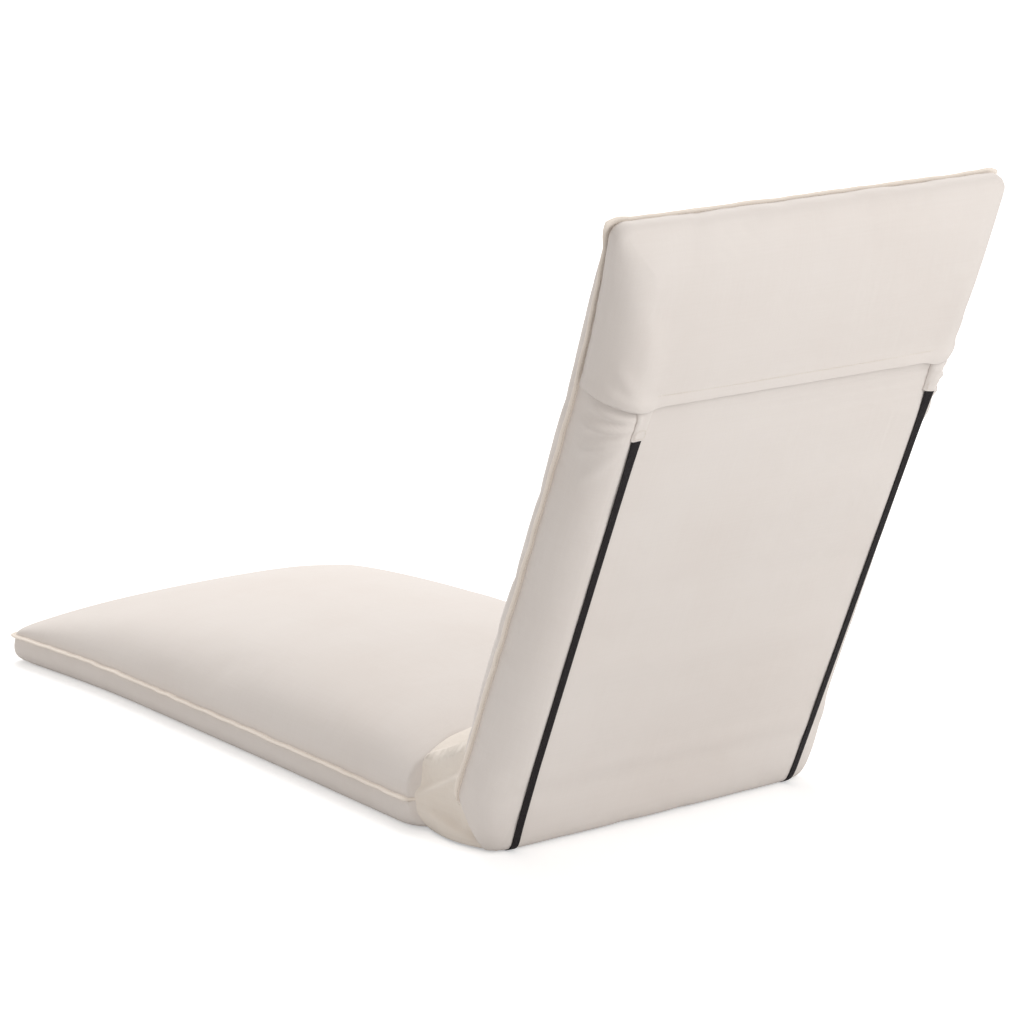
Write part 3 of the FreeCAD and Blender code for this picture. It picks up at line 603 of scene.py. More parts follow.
def back_crown_at(reach):
    from_crown, from_top = reach - BACK_START - BACK_CROWN_START, BACK_END - reach
    share = np.minimum(rise(from_crown, *BACK_HINGE_RISE), rise(from_top, *BACK_TOP_RISE))
    share = BACK_CROWN * share * turned_down(from_crown + BACK_CROWN_START, BACK_HINGE_ROLL)
    return share * turned_down(from_top, FAR_ROLL)


def raise_back(points):
    """From lying flat, as width, reach and height, to the reclined pose about the hinge."""
    x, reach, height = points.T
    flat_y, flat_z = -reach, height - PIVOT.z
    c, s = math.cos(RAISE), math.sin(RAISE)
    raised = np.stack([x, PIVOT.y + flat_y * c + flat_z * s, PIVOT.z - flat_y * s + flat_z * c], -1)
    share = np.clip((TAIL_TOP - reach) / TAIL_RUN, 0, 1)
    share = share * share * (3 - 2 * share) * np.clip((BACK_LIFT + BACK_BAND - height) / TAIL_FRONT, 0, 1)
    raised[:, 2] = raised[:, 2] * (1 - share) + TAIL_REST * share
    at_side = np.clip((np.abs(x) - TAIL_GATHER_FROM) / TAIL_GATHER_RUN, 0, 1)
    drawn = np.where(x < 0, TAIL_GATHER["left"], TAIL_GATHER["right"])
    raised[:, 0] -= np.sign(x) * drawn * share * at_side
    raised[:, 1] += TAIL_FORWARD * share
    return raised


def draw_top_in(points):
    """Draws the rear panel in towards the seam as it nears the top of the back."""
    radius = (TOP_DRAW_RUN ** 2 + TOP_DRAW ** 2) / (2 * TOP_DRAW)
    past = np.clip(points[:, 1] - (BACK_END - TOP_DRAW_RUN), 0, TOP_DRAW_RUN)
    lift = radius - np.sqrt(radius ** 2 - past ** 2)
    depth = np.clip((BACK_LIFT + BACK_BAND - points[:, 2]) / BACK_BAND, 0, 1)
    return points + np.array([0, 0, 1]) * (lift * depth)[:, None]


def raise_piece(piece):
    set_coordinates(piece, raise_back(coordinates(piece)))
    recalculate_normals(piece)


def round_the_edge(points):
    """How far round from the middle of the rear panel a point of the cover lies."""
    return np.abs(points[:, 0]) + np.clip(points[:, 2] - BACK_LIFT, 0, None)


def ridge(points, hand, start, end, height, width):
    """A drawn fold of cloth between two places given as distance round and reach."""
    here = np.stack([round_the_edge(points), points[:, 1]], axis=-1)
    a, b = np.array(start), np.array(end)
    t = np.clip(((here - a) @ (b - a)) / ((b - a) @ (b - a)), 0, 1)
    away = np.linalg.norm(here - a - t[:, None] * (b - a), axis=1)
    fade = np.sin(np.pi * np.clip(0.12 + 0.88 * t, 0, 1)) ** 0.7
    near = np.exp(-(away / width) ** 2) * fade * height
    return np.where((points[:, 0] * hand > 0) & (points[:, 2] < FOLD_FRONT), near, 0)


def outward(piece):
    normals = np.zeros(len(piece.data.vertices) * 3)
    piece.data.vertices.foreach_get("normal", normals)
    return normals.reshape(-1, 3)


back_pad, back_seam, back_under = pad_mesh(
    "back_pad", BACK_START, BACK_END, BACK_CELLS, BACK_LIFT, BACK_BAND, back_crown_at,
    BACK_HINGE_CORNER, BACK_REAR_EDGE, BACK_BAND_STEPS, BACK_BELLY)
set_coordinates(back_pad, draw_top_in(coordinates(back_pad)))
lay_weave(back_pad)
back_flat = coordinates(back_pad)
back_seam_line = back_flat[back_seam]
firm = back_under[np.abs(back_flat[back_under][:, 0]) < BACK_FIRM_HALF]
blow_up(back_pad, np.concatenate([back_seam, firm]), PAD_PRESSURE, PAD_SLACK, PAD_CAP)
refine(back_pad)
cover = coordinates(back_pad)
at_edge = np.clip((np.abs(cover[:, 0]) - EDGE_SIDE) / EDGE_RUN, 0, 1)
at_edge *= np.clip((EDGE_FRONT - cover[:, 2]) / EDGE_FRONT_RUN, 0, 1)
at_edge *= np.clip((cover[:, 1] - EDGE_LOW) / EDGE_RUN, 0, 1)
even_out(back_pad, at_edge, EVEN_ROUNDS)
TAB_FOLDS = [((0.224, 0.556), (0.300, 0.558), 0.0058, 0.0055),
             ((0.228, 0.544), (0.305, 0.530), 0.0072, 0.0066),
             ((0.230, 0.530), (0.300, 0.496), 0.0060, 0.0074),
             ((0.232, 0.516), (0.288, 0.455), 0.0038, 0.0095)]
dress(back_pad, cover_cloth)
cover = coordinates(back_pad)
drawn = sum(ridge(cover, hand, *fold) for hand in (-1, 1) for fold in TAB_FOLDS)
set_coordinates(back_pad, cover + outward(back_pad) * drawn[:, None])
ELASTIC_TOP, ELASTIC_BED, ELASTIC_ASIDE = 0.546, 0.035, 0.220
PULL_ENDS, PULL_SAMPLES, PULL_SPAN = (0.60, -0.012), 110, 0.44


def cover_lookup():
    return BVHTree.FromPolygons([Vector(v) for v in coordinates(back_pad)],
                                [tuple(face.vertices) for face in back_pad.data.polygons])


def on_cover(start, direction):
    """Where a line from outside first meets the cover of the back as it lies flat."""
    return np.array(cover_tree.ray_cast(Vector(start), Vector(direction))[0])


def rear_height(x, reach):
    return on_cover((x, reach, -0.2), (0, 0, 1))[2]


def strap_x(hand, reach):
    top, low = STRAP_PLACES[hand]
    return top + (low - top) * (ELASTIC_TOP - reach) / (ELASTIC_TOP - BACK_START)


def pull_taut(path):
    """Leaves out of a path, in its last two coordinates, what a taut band would bridge."""
    taut = []
    for spot in path:
        while len(taut) > 1:
            a, b = taut[-1] - taut[-2], spot - taut[-1]
            if a[-2] * b[-1] - a[-1] * b[-2] >= 0:
                break
            taut.pop()
        taut.append(spot)
    return np.array(taut)


# The cover is filled out to the elastics' taut line, so that they lie on it all the way.
cover_tree = cover_lookup()
cover = coordinates(back_pad)
past_elastics = np.clip(np.abs(cover[:, 0]) - ELASTIC_ASIDE, 0, None)
near = np.exp(-(past_elastics / ELASTIC_BED) ** 2)
near *= np.clip((EDGE_FRONT - cover[:, 2]) / EDGE_FRONT_RUN, 0, 1)
for hand, side in (("left", -1), ("right", 1)):
    reaches = np.linspace(*PULL_ENDS, PULL_SAMPLES)
    flat = np.array([(strap_x(hand, r), r, rear_height(strap_x(hand, r), r)) for r in reaches])
    path = raise_back(flat)[:, 1:]
    taut = pull_taut(path)
    gap = (path[:, 0] - np.interp(path[:, 1], taut[::-1, 1], taut[::-1, 0])) * math.sin(RAISE)
    towards = np.clip(0.5 + side * cover[:, 0] / PULL_SPAN, 0, 1)
    cover[:, 2] -= np.interp(-cover[:, 1], -reaches, gap, left=0, right=0) * near * towards
set_coordinates(back_pad, cover)
cover_tree = cover_lookup()


# Hood
# A pocket of cover cloth sewn round the top of the back and open downwards, its turned hem
# stitched straight across and pulled taut by the elastics' tabs.
HEM_REACH = 0.572
HOOD_STAND = 0.0022
HOOD_THICK = 0.0014
HOOD_FRONT = BACK_LIFT + BACK_BAND - 0.007
HEM_DEPTH, HEM_BUILD = 0.014, 0.0011
HOOD_UNEVEN, HOOD_UNEVEN_PITCH = 0.0010, 16
TAB_PULL, TAB_PULL_RUN = 0.004, 0.020
HOOD_FOLDS = [((0.214, 0.574), (0.290, 0.590), 0.0030, 0.0080),
              ((0.216, 0.576), (0.280, 0.625), 0.0024, 0.0100),
              ((0.214, 0.578), (0.240, 0.690), 0.0016, 0.0130),
              ((0.150, 0.576), (0.205, 0.573), 0.0012, 0.0060)]


def cut_away(piece, place, direction):
    """Cuts a sheet along a plane and drops what lies behind it."""
    edit_whole(piece, bpy.ops.mesh.bisect, plane_co=place, plane_no=direction, clear_inner=True)


make_active(back_pad)
bpy.ops.object.duplicate()
hood = bpy.context.object
hood.name = hood.data.name = "back_hood_pocket"
cut_away(hood, (0, HEM_REACH, 0), (0, 1, 0))
cut_away(hood, (0, 0, HOOD_FRONT), (0, 0, -1))
cloth = coordinates(hood)
stand = np.full(len(cloth), HOOD_STAND)
stand += sum(ridge(cloth, hand, *fold) for hand in (-1, 1) for fold in HOOD_FOLDS)
stand += HEM_BUILD * np.clip(1 - (cloth[:, 1] - HEM_REACH) / HEM_DEPTH, 0, 1) ** 0.3
stand += HOOD_UNEVEN * np.array([noise.noise(Vector(v) * HOOD_UNEVEN_PITCH) for v in cloth])
cloth = cloth + outward(hood) * stand[:, None]
pull = np.exp(-((np.abs(cloth[:, 0]) - ELASTIC_ASIDE) / TAB_PULL_RUN) ** 2)
cloth[:, 1] -= TAB_PULL * (pull * np.exp(-(cloth[:, 1] - HEM_REACH) / TAB_PULL_RUN))
set_coordinates(hood, cloth)
apply_modifier(hood, "SOLIDIFY", thickness=HOOD_THICK, offset=1.0)
bpy.ops.object.shade_smooth()
raise_piece(hood)
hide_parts("back_hood")
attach(hood, "back")

raise_piece(back_pad)
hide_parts("back_cover_rear", "back_cover_front", "back_cushion", "back_felt",
            "back_rear_foam")
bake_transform(back_pad)


# Back seam
# The same standing flange round the back, between its boxing and its front panel, ending in
# small points at the two top corners.
BACK_EAR_TIP, BACK_SEAM_INSET, BACK_SEAM_SEED = 0.008, 0.004, 8.4
back_line = open_seam(back_seam_line, BACK_CELLS[0], BACK_SEAM_INSET, BACK_START)
line, out, reach = flange_lines(back_line, BACK_END, BACK_EAR_TIP, BACK_SEAM_SEED)
back_seam_edge = flange_piece("back_seam_edge", line, out, reach)
lay_weave(back_seam_edge)
back_stitches = stitch_both_faces(("back_stitches_front", "back_stitches_rear"), line, out)
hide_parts("back_flange_seam")
# The back's flange takes the same lightened cloth, painted light.
dress(back_seam_edge, seam_cloth_painted_light)
for piece in [back_seam_edge] + back_stitches:
    if piece != back_seam_edge:
        lay_weave(piece)
        dress(piece, thread)
    raise_piece(piece)
    smooth_over(piece)
    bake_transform(piece)


# Hem stitches
# Sewing thread in the colour of the cover, in one row straight across the hood. It holds the
# hood's turned hem.
HEM_STITCH_REACH, HEM_STITCH_HALF, HEM_STITCH_POINTS = HEM_REACH + HEM_DEPTH, 0.236, 60
THREAD_LIFT = 0.0004
hem_path = np.array([(x, HEM_STITCH_REACH,
                      rear_height(x, HEM_STITCH_REACH) - HOOD_STAND - HOOD_THICK - THREAD_LIFT)
                     for x in np.linspace(-HEM_STITCH_HALF, HEM_STITCH_HALF, HEM_STITCH_POINTS)])
hem_stitches = stitch_row("hood_hem_stitches", hem_path, np.array([0, 0, -1.0]))
lay_weave(hem_stitches)
dress(hem_stitches, thread)
raise_piece(hem_stitches)
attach(hem_stitches, "back")


# Elastics
# Two black ribbed elastics that hold the hood down over the back: each is caught in a tab at
# the hem, runs taut down the rear panel and tucks under the tail at the floor.
ELASTIC_WIDE, ELASTIC_DRAWN, ELASTIC_THICK = 0.0182, 0.0106, 0.0016
ELASTIC_NARROWING, ELASTIC_STATIONS, ELASTIC_LIFT = 0.060, 150, 0.62
ELASTIC_REACHES = np.concatenate([np.linspace(ELASTIC_TOP, 0.0, 80), np.linspace(-0.003, -0.034, 20)])
FINE_STEP = 0.0002
ELASTIC_PROFILE = [(-0.5, 0.0), (-0.46, 0.42), (-0.2, 0.5), (0.2, 0.5), (0.46, 0.42), (0.5, 0.0),
                   (0.46, -0.42), (0.2, -0.5), (-0.2, -0.5), (-0.46, -0.42)]


def soften(rows, rounds):
    """Rounds off what is angular along the first way of an array, its ends kept."""
    for _ in range(rounds):
        rows[1:-1] = (rows[:-2] + 2 * rows[1:-1] + rows[2:]) / 4
    return rows


def elastic_edge(hand, aside):
    """The taut line of one edge of an elastic: over the cover, down and under the tail."""
    flat = []
    for reach in ELASTIC_REACHES:
        x = strap_x(hand, reach) + aside
        flat.append((x, reach, rear_height(x, reach)))
    line, places = along_path(pull_taut(raise_back(np.array(flat))), FINE_STEP)
    stations = np.linspace(0, len(line) - 1, ELASTIC_STATIONS + 1).astype(int)
    return soften(line[stations], 3), places[stations]


def elastic(hand):
    low_x, places = elastic_edge(hand, -ELASTIC_DRAWN / 2)
    high_x, _ = elastic_edge(hand, ELASTIC_DRAWN / 2)
    line = (low_x + high_x) / 2
    aside = high_x - low_x
    aside /= np.linalg.norm(aside, axis=1)[:, None]
    out = np.cross(np.gradient(line, axis=0), aside)
    out /= np.linalg.norm(out, axis=1)[:, None]
    if out[0][1] > 0:
        out = -out
    taper = np.exp(-places / ELASTIC_NARROWING * 1.6)
    wide = ELASTIC_DRAWN + (ELASTIC_WIDE - ELASTIC_DRAWN) * taper
    lift = ELASTIC_THICK * ELASTIC_LIFT
    sections = [line + out * (lift + ELASTIC_THICK * z) + aside * (wide * x)[:, None]
                for x, z in ELASTIC_PROFILE]
    strap = strip_mesh(hand + "_elastic", np.stack(sections, axis=1))
    layer = strap.data.uv_layers.new(name="weave")
    count = len(ELASTIC_PROFILE)
    for loop in strap.data.loops:
        station, corner = divmod(loop.vertex_index, count)
        layer.data[loop.index].uv = (ELASTIC_PROFILE[corner][0], places[station])
    return strap


def elastic_material():
    """Black rubber-cored elastic: ribs along its length crossed by fine wrapping thread."""
    material, tree, shader = new_material("black_elastic")
    split = put(tree, "ShaderNodeSeparateXYZ", Vector=place_on(tree, "UV"))
    ribs, wraps = [maths(tree, "ABSOLUTE", maths(tree, "SINE", maths(tree, "MULTIPLY", way, pitch)))
                   for way, pitch in ((split.outputs[0], 25.0), (split.outputs[1], 3900.0))]
    fluff = speckle(tree, place_on(tree), 260.0, 4.0)
    height = maths(tree, "ADD", ribs, maths(tree, "MULTIPLY", wraps, 0.35))
    shade = maths(tree, "MULTIPLY", maths(tree, "ADD", height, fluff), 0.45)
    colour = mix_colours(tree, shade, (0.006, 0.005, 0.006, 1), (0.022, 0.018, 0.020, 1))
    relief = put(tree, "ShaderNodeBump", Strength=0.8, Distance=0.0004, Height=height)
    feed(tree, shader, Base_Color=colour, Roughness=spread(tree, fluff, 0.3, 0.7, 0.55, 0.78),
         Normal=relief.outputs["Normal"], Specular_IOR_Level=0.2)
    return material


black_elastic = elastic_material()
for hand in STRAP_PLACES:
    strap = elastic(hand)
    recalculate_normals(strap)
    smooth_over(strap)
    dress(strap, black_elastic)
    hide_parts(hand + "_elastic_strap")
    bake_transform(strap)


# Strap tabs
# Short folded tongues of cover cloth sewn into the hood's hem, each closed over the end of an
# elastic with a small box of stitches.
TAB_TOP, TAB_END, TAB_FLARE_FROM = 0.588, 0.5275, 0.545
TAB_TOP_WIDTH, TAB_END_WIDTH, TAB_THICK = 0.030, 0.0200, 0.0016
TAB_BOX, TAB_BOX_LOW, TAB_BOX_INSET = 0.0115, 0.003, 0.0026
TAB_STAND, TAB_ON_HOOD, TAB_WAVE = 0.0034, HEM_REACH - 0.006, 0.0006
TAB_EDGE_ON_HOOD, TAB_EDGE_FREE = 0.1, 0.97

for hand in STRAP_PLACES:
    bpy.ops.object.select_all(action="DESELECT")
    bpy.ops.mesh.primitive_grid_add(x_subdivisions=14, y_subdivisions=30, size=1)
    tab = bpy.context.object
    tab.name = tab.data.name = hand + "_tab"
    flat = coordinates(tab)
    reach = TAB_END + (TAB_TOP - TAB_END) * (flat[:, 1] + 0.5)
    up = np.clip((reach - TAB_FLARE_FROM) / (TAB_TOP - TAB_FLARE_FROM), 0, 1)
    wide = TAB_END_WIDTH + (TAB_TOP_WIDTH - TAB_END_WIDTH) * up ** 1.6
    x = np.array([strap_x(hand, r) for r in reach]) + flat[:, 0] * wide
    on_hood = reach > TAB_ON_HOOD
    stand = np.where(on_hood, HOOD_STAND + HOOD_THICK + THREAD_LIFT, TAB_STAND)
    edge = 1 - np.where(on_hood, TAB_EDGE_ON_HOOD, TAB_EDGE_FREE) * np.abs(2 * flat[:, 0]) ** 6
    height = np.array([rear_height(a, b) for a, b in zip(x, reach)]) - stand * edge
    height -= TAB_WAVE * np.sin(flat[:, 0] * 9 + up * 2) * up
    set_coordinates(tab, np.stack([x, reach, height], axis=-1))
    apply_modifier(tab, "SOLIDIFY", thickness=TAB_THICK, offset=0.0)
    refine(tab)
    lay_weave(tab)
    dress(tab, cover_cloth)
    raise_piece(tab)
    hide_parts(hand + "_strap_tab")
    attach(tab, "back")
    middle = strap_x(hand, TAB_END)
    low, high = TAB_END + TAB_BOX_LOW, TAB_END + TAB_BOX_LOW + TAB_BOX
    half = TAB_END_WIDTH / 2 - TAB_BOX_INSET
    corners = [(middle - half, low), (middle + half, low), (middle + half, high), (middle - half, high),
               (middle - half, low)]
    path = np.array([(a, b, rear_height(a, b) - TAB_STAND - TAB_THICK / 2) for a, b in corners])
    box = stitch_row(hand + "_tab_stitches", path, np.array([0, 0, -1.0]))
    lay_weave(box)
    dress(box, thread)
    raise_piece(box)
    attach(box, "back")


# Hinge cover
# Loose cover cloth sewn between the seat's hinge end and the lower end of the back. It arches
# over the hinge plates, falls in folds at both sides and draws the seat in behind its seam.
SEAT_ARCH = np.array([(-0.2465, -0.464, 0.003), (-0.2555, -0.455, 0.014), (-0.258, -0.447, 0.026),
                      (-0.258, -0.4405, 0.040), (-0.2535, -0.4365, 0.056), (-0.2465, -0.436, 0.071),
                      (-0.236, -0.4385, 0.084), (-0.2215, -0.438, 0.0945),
                      (-0.190, -0.430, 0.102), (-0.120, -0.424, 0.1110), (0, -0.424, 0.1155)])
BACK_ARCH = np.array([(-0.231, -0.578, 0.003), (-0.239, -0.567, 0.014), (-0.2525, -0.547, 0.044),
                      (-0.257, -0.5425, 0.070), (-0.253, -0.546, 0.092), (-0.238, -0.545, 0.117),
                      (-0.214, -0.541, 0.1245), (-0.120, -0.537, 0.128), (0, -0.535, 0.129)])
COVER_CELLS = (44, 320)
COVER_HOLLOW, COVER_RISE, COVER_CRUMPLE = 0.024, 0.010, 0.0045
SEAM_DROP, SEAM_DROP_RUN, FOOT_BULGE, FOOT_RUN = 0.003, 0.09, 0.011, 0.12
DRAW_PAST, DRAW_DEPTH = [0, 0.007, 0.032], [0, 0.015, 0.026]
DRAW_FROM, DRAW_SIDES, DRAW_SIDES_RUN = -0.400, 0.170, 0.040
DRAW_SHOULDER, DRAW_SHOULDER_RUN, FLANGE_DRAW = 0.065, 0.040, 1.7
DRAW_SHOULDER_ASIDE, DRAW_SHOULDER_DOWN = 0.5, 0.7
DRAW_AT_FLOOR, DRAW_FLOOR_RUN = 0.30, 0.026
LEDGE, FLAP, FOLD = (0.115, -0.085), (0.14, 0.17), (0.33, 0.05)
FOLD_DEPTHS = [0, 0, 0.58, 0.42, 0.0, 1.0, 0.9, 0.34, 0.62, 0.0]
TOP_FROM, TOP_RUN, COVER_THICK = 0.42, 0.14, 0.0012
PLATE_SIDE, PLATE_ENDS, PLATE_FOOT = 0.2322, (-0.542, -0.440), 0.058
PLATE_SPARE_FIRST, PLATE_SPARE_LAST = 0.0055, 0.0045
PLATE_TOP = [(-0.545, 0.1200), (-0.515, 0.1200), (-0.470, 0.0980), (-0.440, 0.0850)]


def whole_arch(half):
    other = half[-2::-1] * np.array([-1, 1, 1])
    line, _ = along_path(np.concatenate([half, other]), FINE_STEP)
    return soften(line[np.linspace(0, len(line) - 1, COVER_CELLS[1] + 1).astype(int)], 30)


def side_folds(s, up):
    """Depth of the side's folds, as a share: flush below a ledge that falls towards the tail,
    a flap over it whose upper edge climbs to the back, a hollow and one more fold above."""
    ledge, flap, fold = [low + climb * s for low, climb in (LEDGE, FLAP, FOLD)]
    at = [0, ledge - 0.012, ledge + 0.010, flap - 0.03, flap, flap + 0.022, fold - 0.045, fold,
          fold + 0.03, fold + 0.12]
    return np.interp(up, at, FOLD_DEPTHS)


def keep_off_plates(cloth, spare):
    """Moves what would lie in the hinge plates up or out to a little way off them."""
    aside, high = np.abs(cloth[..., 0]), cloth[..., 2].copy()
    top, side = np.interp(cloth[..., 1], *zip(*PLATE_TOP)) + spare, PLATE_SIDE + spare
    inside = (cloth[..., 1] > PLATE_ENDS[0]) & (cloth[..., 1] < PLATE_ENDS[1]) & (high > PLATE_FOOT)
    inside &= (aside < side) & (high < top)
    lift = inside & (top - high < side - aside)
    cloth[..., 2] = np.where(lift, top, high)
    cloth[..., 0] = np.where(inside & ~lift, np.sign(cloth[..., 0]) * side, cloth[..., 0])


def draw_in(piece, share):
    """Draws a seat piece in behind the line where the hinge cover is sewn to it."""
    points = coordinates(piece)
    close = np.flatnonzero((points[:, 1] < DRAW_FROM) & (np.abs(points[:, 0]) > DRAW_SIDES))
    spot = points[close]
    nearest = np.argmin(((spot[:, None] - seat_side[None]) ** 2).sum(axis=2), axis=1)
    past = seat_side[nearest, 1] - spot[:, 1]
    depth = share * np.interp(past, DRAW_PAST, DRAW_DEPTH)
    depth *= np.clip((np.abs(spot[:, 0]) - DRAW_SIDES) / DRAW_SIDES_RUN, 0, 1)
    depth *= np.interp(spot[:, 2], [0, DRAW_FLOOR_RUN], [DRAW_AT_FLOOR, 1])
    shoulder = np.clip((spot[:, 2] - DRAW_SHOULDER) / DRAW_SHOULDER_RUN, 0, 1)
    spot[:, 0] -= np.sign(spot[:, 0]) * depth * (1 - DRAW_SHOULDER_ASIDE * shoulder)
    spot[:, 2] -= depth * DRAW_SHOULDER_DOWN * shoulder
    points[close] = spot
    set_coordinates(piece, points)


seat_side, back_side = whole_arch(SEAT_ARCH), whole_arch(BACK_ARCH)
draw_in(seat_pad, 1.0)
for piece in [seat_seam_edge] + seat_stitches:
    draw_in(piece, FLANGE_DRAW)
steps = np.linspace(0, 1, COVER_CELLS[0] + 1)
along_arch = np.linspace(0, 1, COVER_CELLS[1] + 1)
up = np.minimum(along_arch, 1 - along_arch) * 2
arch = np.array([seat_side * (1 - k) + back_side * k for k in steps])
sag = np.sin(np.pi * steps)[:, None]
folds = np.array([side_folds(k, up) for k in steps])
crumple = COVER_CRUMPLE * sag * np.array([[noise.noise(Vector((5 * k, 30 * a, 2.0)))
                                           + 0.5 * noise.noise(Vector((12 * k, 70 * a, 5.0)))
                                           for a in along_arch] for k in steps])
at_top = np.clip((up - TOP_FROM) / TOP_RUN, 0, 1)[None, :]
inward = COVER_HOLLOW * folds * sag ** 0.8 + crumple * np.clip(folds * 3, 0, 1)
inward = soften(inward.T.copy(), 3).T
drop = np.clip(steps / SEAM_DROP_RUN, 0, 1) * np.clip(2 - 2 * steps, 0, 1)
above_foot = np.clip(up / FOOT_RUN, 0, 1)[None, :]
inward += SEAM_DROP * drop[:, None] * (1 - at_top) * above_foot
inward -= FOOT_BULGE * sag * (1 - above_foot)
arch[..., 0] -= np.sign(arch[..., 0]) * inward
arch[..., 2] += (COVER_RISE * sag + crumple) * at_top
keep_off_plates(arch, PLATE_SPARE_FIRST)
arch = soften(soften(arch, 3).transpose(1, 0, 2).copy(), 2).transpose(1, 0, 2)
keep_off_plates(arch, PLATE_SPARE_LAST)
hinge_cover = strip_mesh("hinge_cover", arch, closed_section=False)
recalculate_normals(hinge_cover)
apply_modifier(hinge_cover, "SOLIDIFY", thickness=COVER_THICK, offset=-1.0)
bpy.ops.object.shade_smooth()
lay_weave(hinge_cover)
# The hinge cover's cloth is the cover cloth painted lighter: painted light that brightens its shaded folds.
hinge_cloth_painted_light = cloth_material("cream_hinge_cloth_painted_light", (0.875, 0.81, 0.735, 1), (0.80, 0.715, 0.63, 1),
                             GROUND_DUST, COVER_THREADS, 26.0, 0.006, 0.12)
dress(hinge_cover, hinge_cloth_painted_light)
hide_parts("hinge_crease_panel", "left_hinge_gusset", "right_hinge_gusset")
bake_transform(hinge_cover)


# Under panel
# A plain strip of cover cloth that lies on the floor. It is sewn to the seat's underside and
# to the tail of the back, and closes the hinge from below.
PANEL_WIDE, PANEL_LONG, PANEL_MIDDLE = 0.46, 0.120, -0.517
PANEL_HEIGHT, PANEL_RIPPLE = 0.0030, 0.0016
bpy.ops.object.select_all(action="DESELECT")
bpy.ops.mesh.primitive_grid_add(x_subdivisions=48, y_subdivisions=16, size=1)
under_panel = bpy.context.object
under_panel.name = under_panel.data.name = "under_panel"
flat = coordinates(under_panel)
ripple = np.array([noise.noise(Vector((9 * a, 5 * b, 1.0))) for a, b, _ in flat])
set_coordinates(under_panel, np.stack([flat[:, 0] * PANEL_WIDE, PANEL_MIDDLE + flat[:, 1] * PANEL_LONG,
                                       PANEL_HEIGHT + PANEL_RIPPLE * ripple], axis=-1))
apply_modifier(under_panel, "SOLIDIFY", thickness=COVER_THICK)
refine(under_panel)
lay_weave(under_panel)
# The under panel takes the same lightened cloth, painted light.
dress(under_panel, hinge_cloth_painted_light)
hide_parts("hinge_under_panel")
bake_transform(under_panel)


# Frame tubes and hinge steel
# Inside the covers: bent tubes in dark powder coat, plated steel plates, arms, pawls and
# rivets, nylon bushes and woven bands, each left as built and given its finish.
def metal_material(name, colour, worn, metallic, rough, grain):
    """Coated or plated metal, or plain nylon, with a fine grain and rubbed places."""
    material, tree, shader = new_material(name)
    place = place_on(tree)
    speck = speckle(tree, place, grain, 3.0)
    rubbed = spread(tree, speckle(tree, place, 22.0, 5.0), 0.56, 0.72, 0.0, 0.7)
    relief = put(tree, "ShaderNodeBump", Strength=0.3, Distance=0.0002, Height=speck)
    feed(tree, shader, Base_Color=mix_colours(tree, rubbed, colour, worn), Metallic=metallic,
         Roughness=spread(tree, speck, 0.3, 0.7, rough - 0.1, rough + 0.1), Normal=relief.outputs["Normal"])
    return material


def band_material():
    """Woven polypropylene band, read across the piece because the band has no map."""
    material, tree, shader = new_material("dark_band")
    split = put(tree, "ShaderNodeSeparateXYZ", Vector=place_on(tree))
    rows = [maths(tree, "SINE", maths(tree, "MULTIPLY", split.outputs[k], 3600.0)) for k in (0, 1)]
    tone = maths(tree, "ADD", maths(tree, "MULTIPLY", maths(tree, "ADD", *rows), 0.25), 0.5)
    relief = put(tree, "ShaderNodeBump", Strength=0.5, Distance=0.0004, Height=tone)
    feed(tree, shader, Base_Color=mix_colours(tree, tone, (0.02, 0.02, 0.022, 1), (0.06, 0.06, 0.065, 1)),
         Roughness=0.7, Normal=relief.outputs["Normal"])
    return material


powder_coat = metal_material("dark_powder_coat", (0.012, 0.012, 0.013, 1), (0.05, 0.05, 0.05, 1),
                             0.0, 0.5, 900.0)
plated_steel = metal_material("plated_steel", (0.56, 0.55, 0.52, 1), (0.36, 0.34, 0.31, 1),
                              1.0, 0.38, 260.0)
nylon = metal_material("natural_nylon", (0.66, 0.64, 0.58, 1), (0.5, 0.47, 0.42, 1), 0.0, 0.45, 500.0)
FINISHES = [(("frame_tube", "cross_bars"), powder_coat),
            (("cheek", "rivet", "pin", "ratchet_arm", "_pawl"), plated_steel),
            (("bushes",), nylon), (("webbing",), band_material())]
for name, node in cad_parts.items():
    if node.hide_render:
        continue
    for words, finish in FINISHES:
        if any(word in name for word in words):
            dress(node, finish)
            break


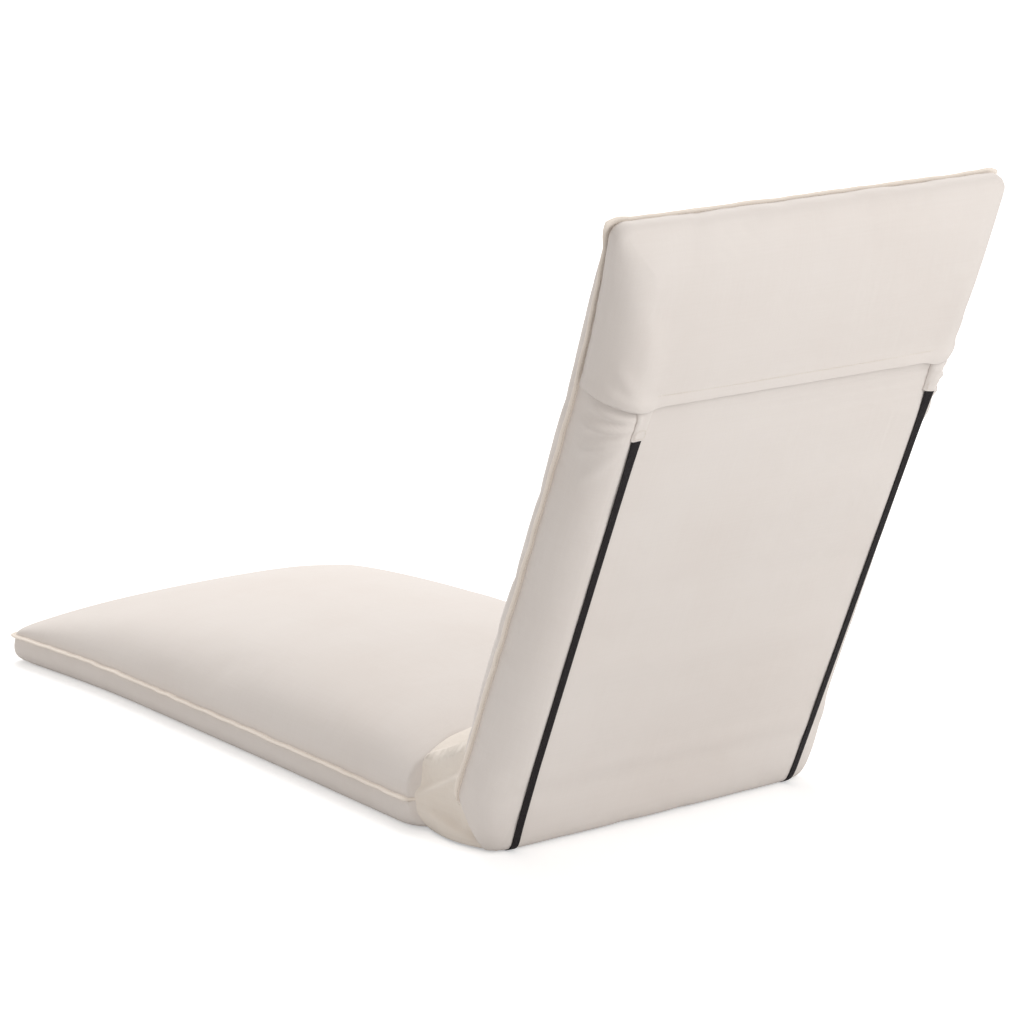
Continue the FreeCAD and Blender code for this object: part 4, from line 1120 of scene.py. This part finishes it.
# Studio
# The room round the lounger: a plain pale floor that runs off to white, an even sky, broad soft
# lamps beyond the seat's foot and behind the back, and the camera at the photograph's place.
CAMERA_PLACE, CAMERA_TILT, CAMERA_TURN = (-2.855, -4.0777, 1.531), 75.74, -37.1
CAMERA_LENS, CAMERA_SENSOR = 136.4, 36
FLOOR_NEAR_WHITE, SKY_LIGHT = 0.42, 0.62
LAMPS = [("seat", (0.7, 1.5, 2.7), 2.2, 58.0), ("rear", (1.1, -4.3, 2.1), 2.4, 66.0)]
LAMP_AIM = Vector((0, -0.2, 0.3))


def white_around(tree, near, far):
    """White for the camera's own rays, more of it away from the object."""
    seen = put(tree, "ShaderNodeLightPath").outputs["Is Camera Ray"]
    away = put(tree, "ShaderNodeVectorMath", {"operation": "LENGTH"}, i0=place_on(tree)).outputs["Value"]
    amount = put(tree, "ShaderNodeMapRange", {"interpolation_type": "SMOOTHSTEP"}, Value=away, i1=0.9,
                 i2=3.2, i3=near, i4=far).outputs[0]
    return maths(tree, "MULTIPLY", seen, amount)


bpy.ops.object.select_all(action="DESELECT")
bpy.ops.mesh.primitive_plane_add(size=60, location=(0, 0, 0))
floor = bpy.context.object
floor.name = "studio_floor"
floor_white, tree, shader = new_material("studio_floor_white")
feed(tree, shader, Base_Color=(0.82, 0.82, 0.82, 1), Roughness=1.0, Specular_IOR_Level=0.0,
     Emission_Strength=1.0, Emission_Color=white_around(tree, FLOOR_NEAR_WHITE, 1.0))
dress(floor, floor_white)
bpy.ops.object.camera_add(location=CAMERA_PLACE,
                          rotation=(math.radians(CAMERA_TILT), 0, math.radians(CAMERA_TURN)))
camera = bpy.context.object
camera.data.sensor_width = CAMERA_SENSOR
camera.data.lens = CAMERA_LENS
camera.data.clip_end = 100
bpy.context.scene.camera = camera
world = bpy.data.worlds.new("studio_sky")
bpy.context.scene.world = world
world.use_nodes = True
tree = world.node_tree
seen = put(tree, "ShaderNodeLightPath").outputs["Is Camera Ray"]
feed(tree, tree.nodes["Background"], Color=(1, 0.97, 0.945, 1),
     Strength=spread(tree, seen, 0.0, 1.0, SKY_LIGHT, 1.0))
for name, place, size, power in LAMPS:
    bpy.ops.object.light_add(type="AREA", location=place)
    lamp = bpy.context.object
    lamp.name = "studio_lamp_" + name
    lamp.data.energy = power
    lamp.data.size = size
    lamp.rotation_euler = (LAMP_AIM - lamp.location).to_track_quat("-Z", "Y").to_euler()
bpy.context.scene.view_settings.view_transform = "Standard"
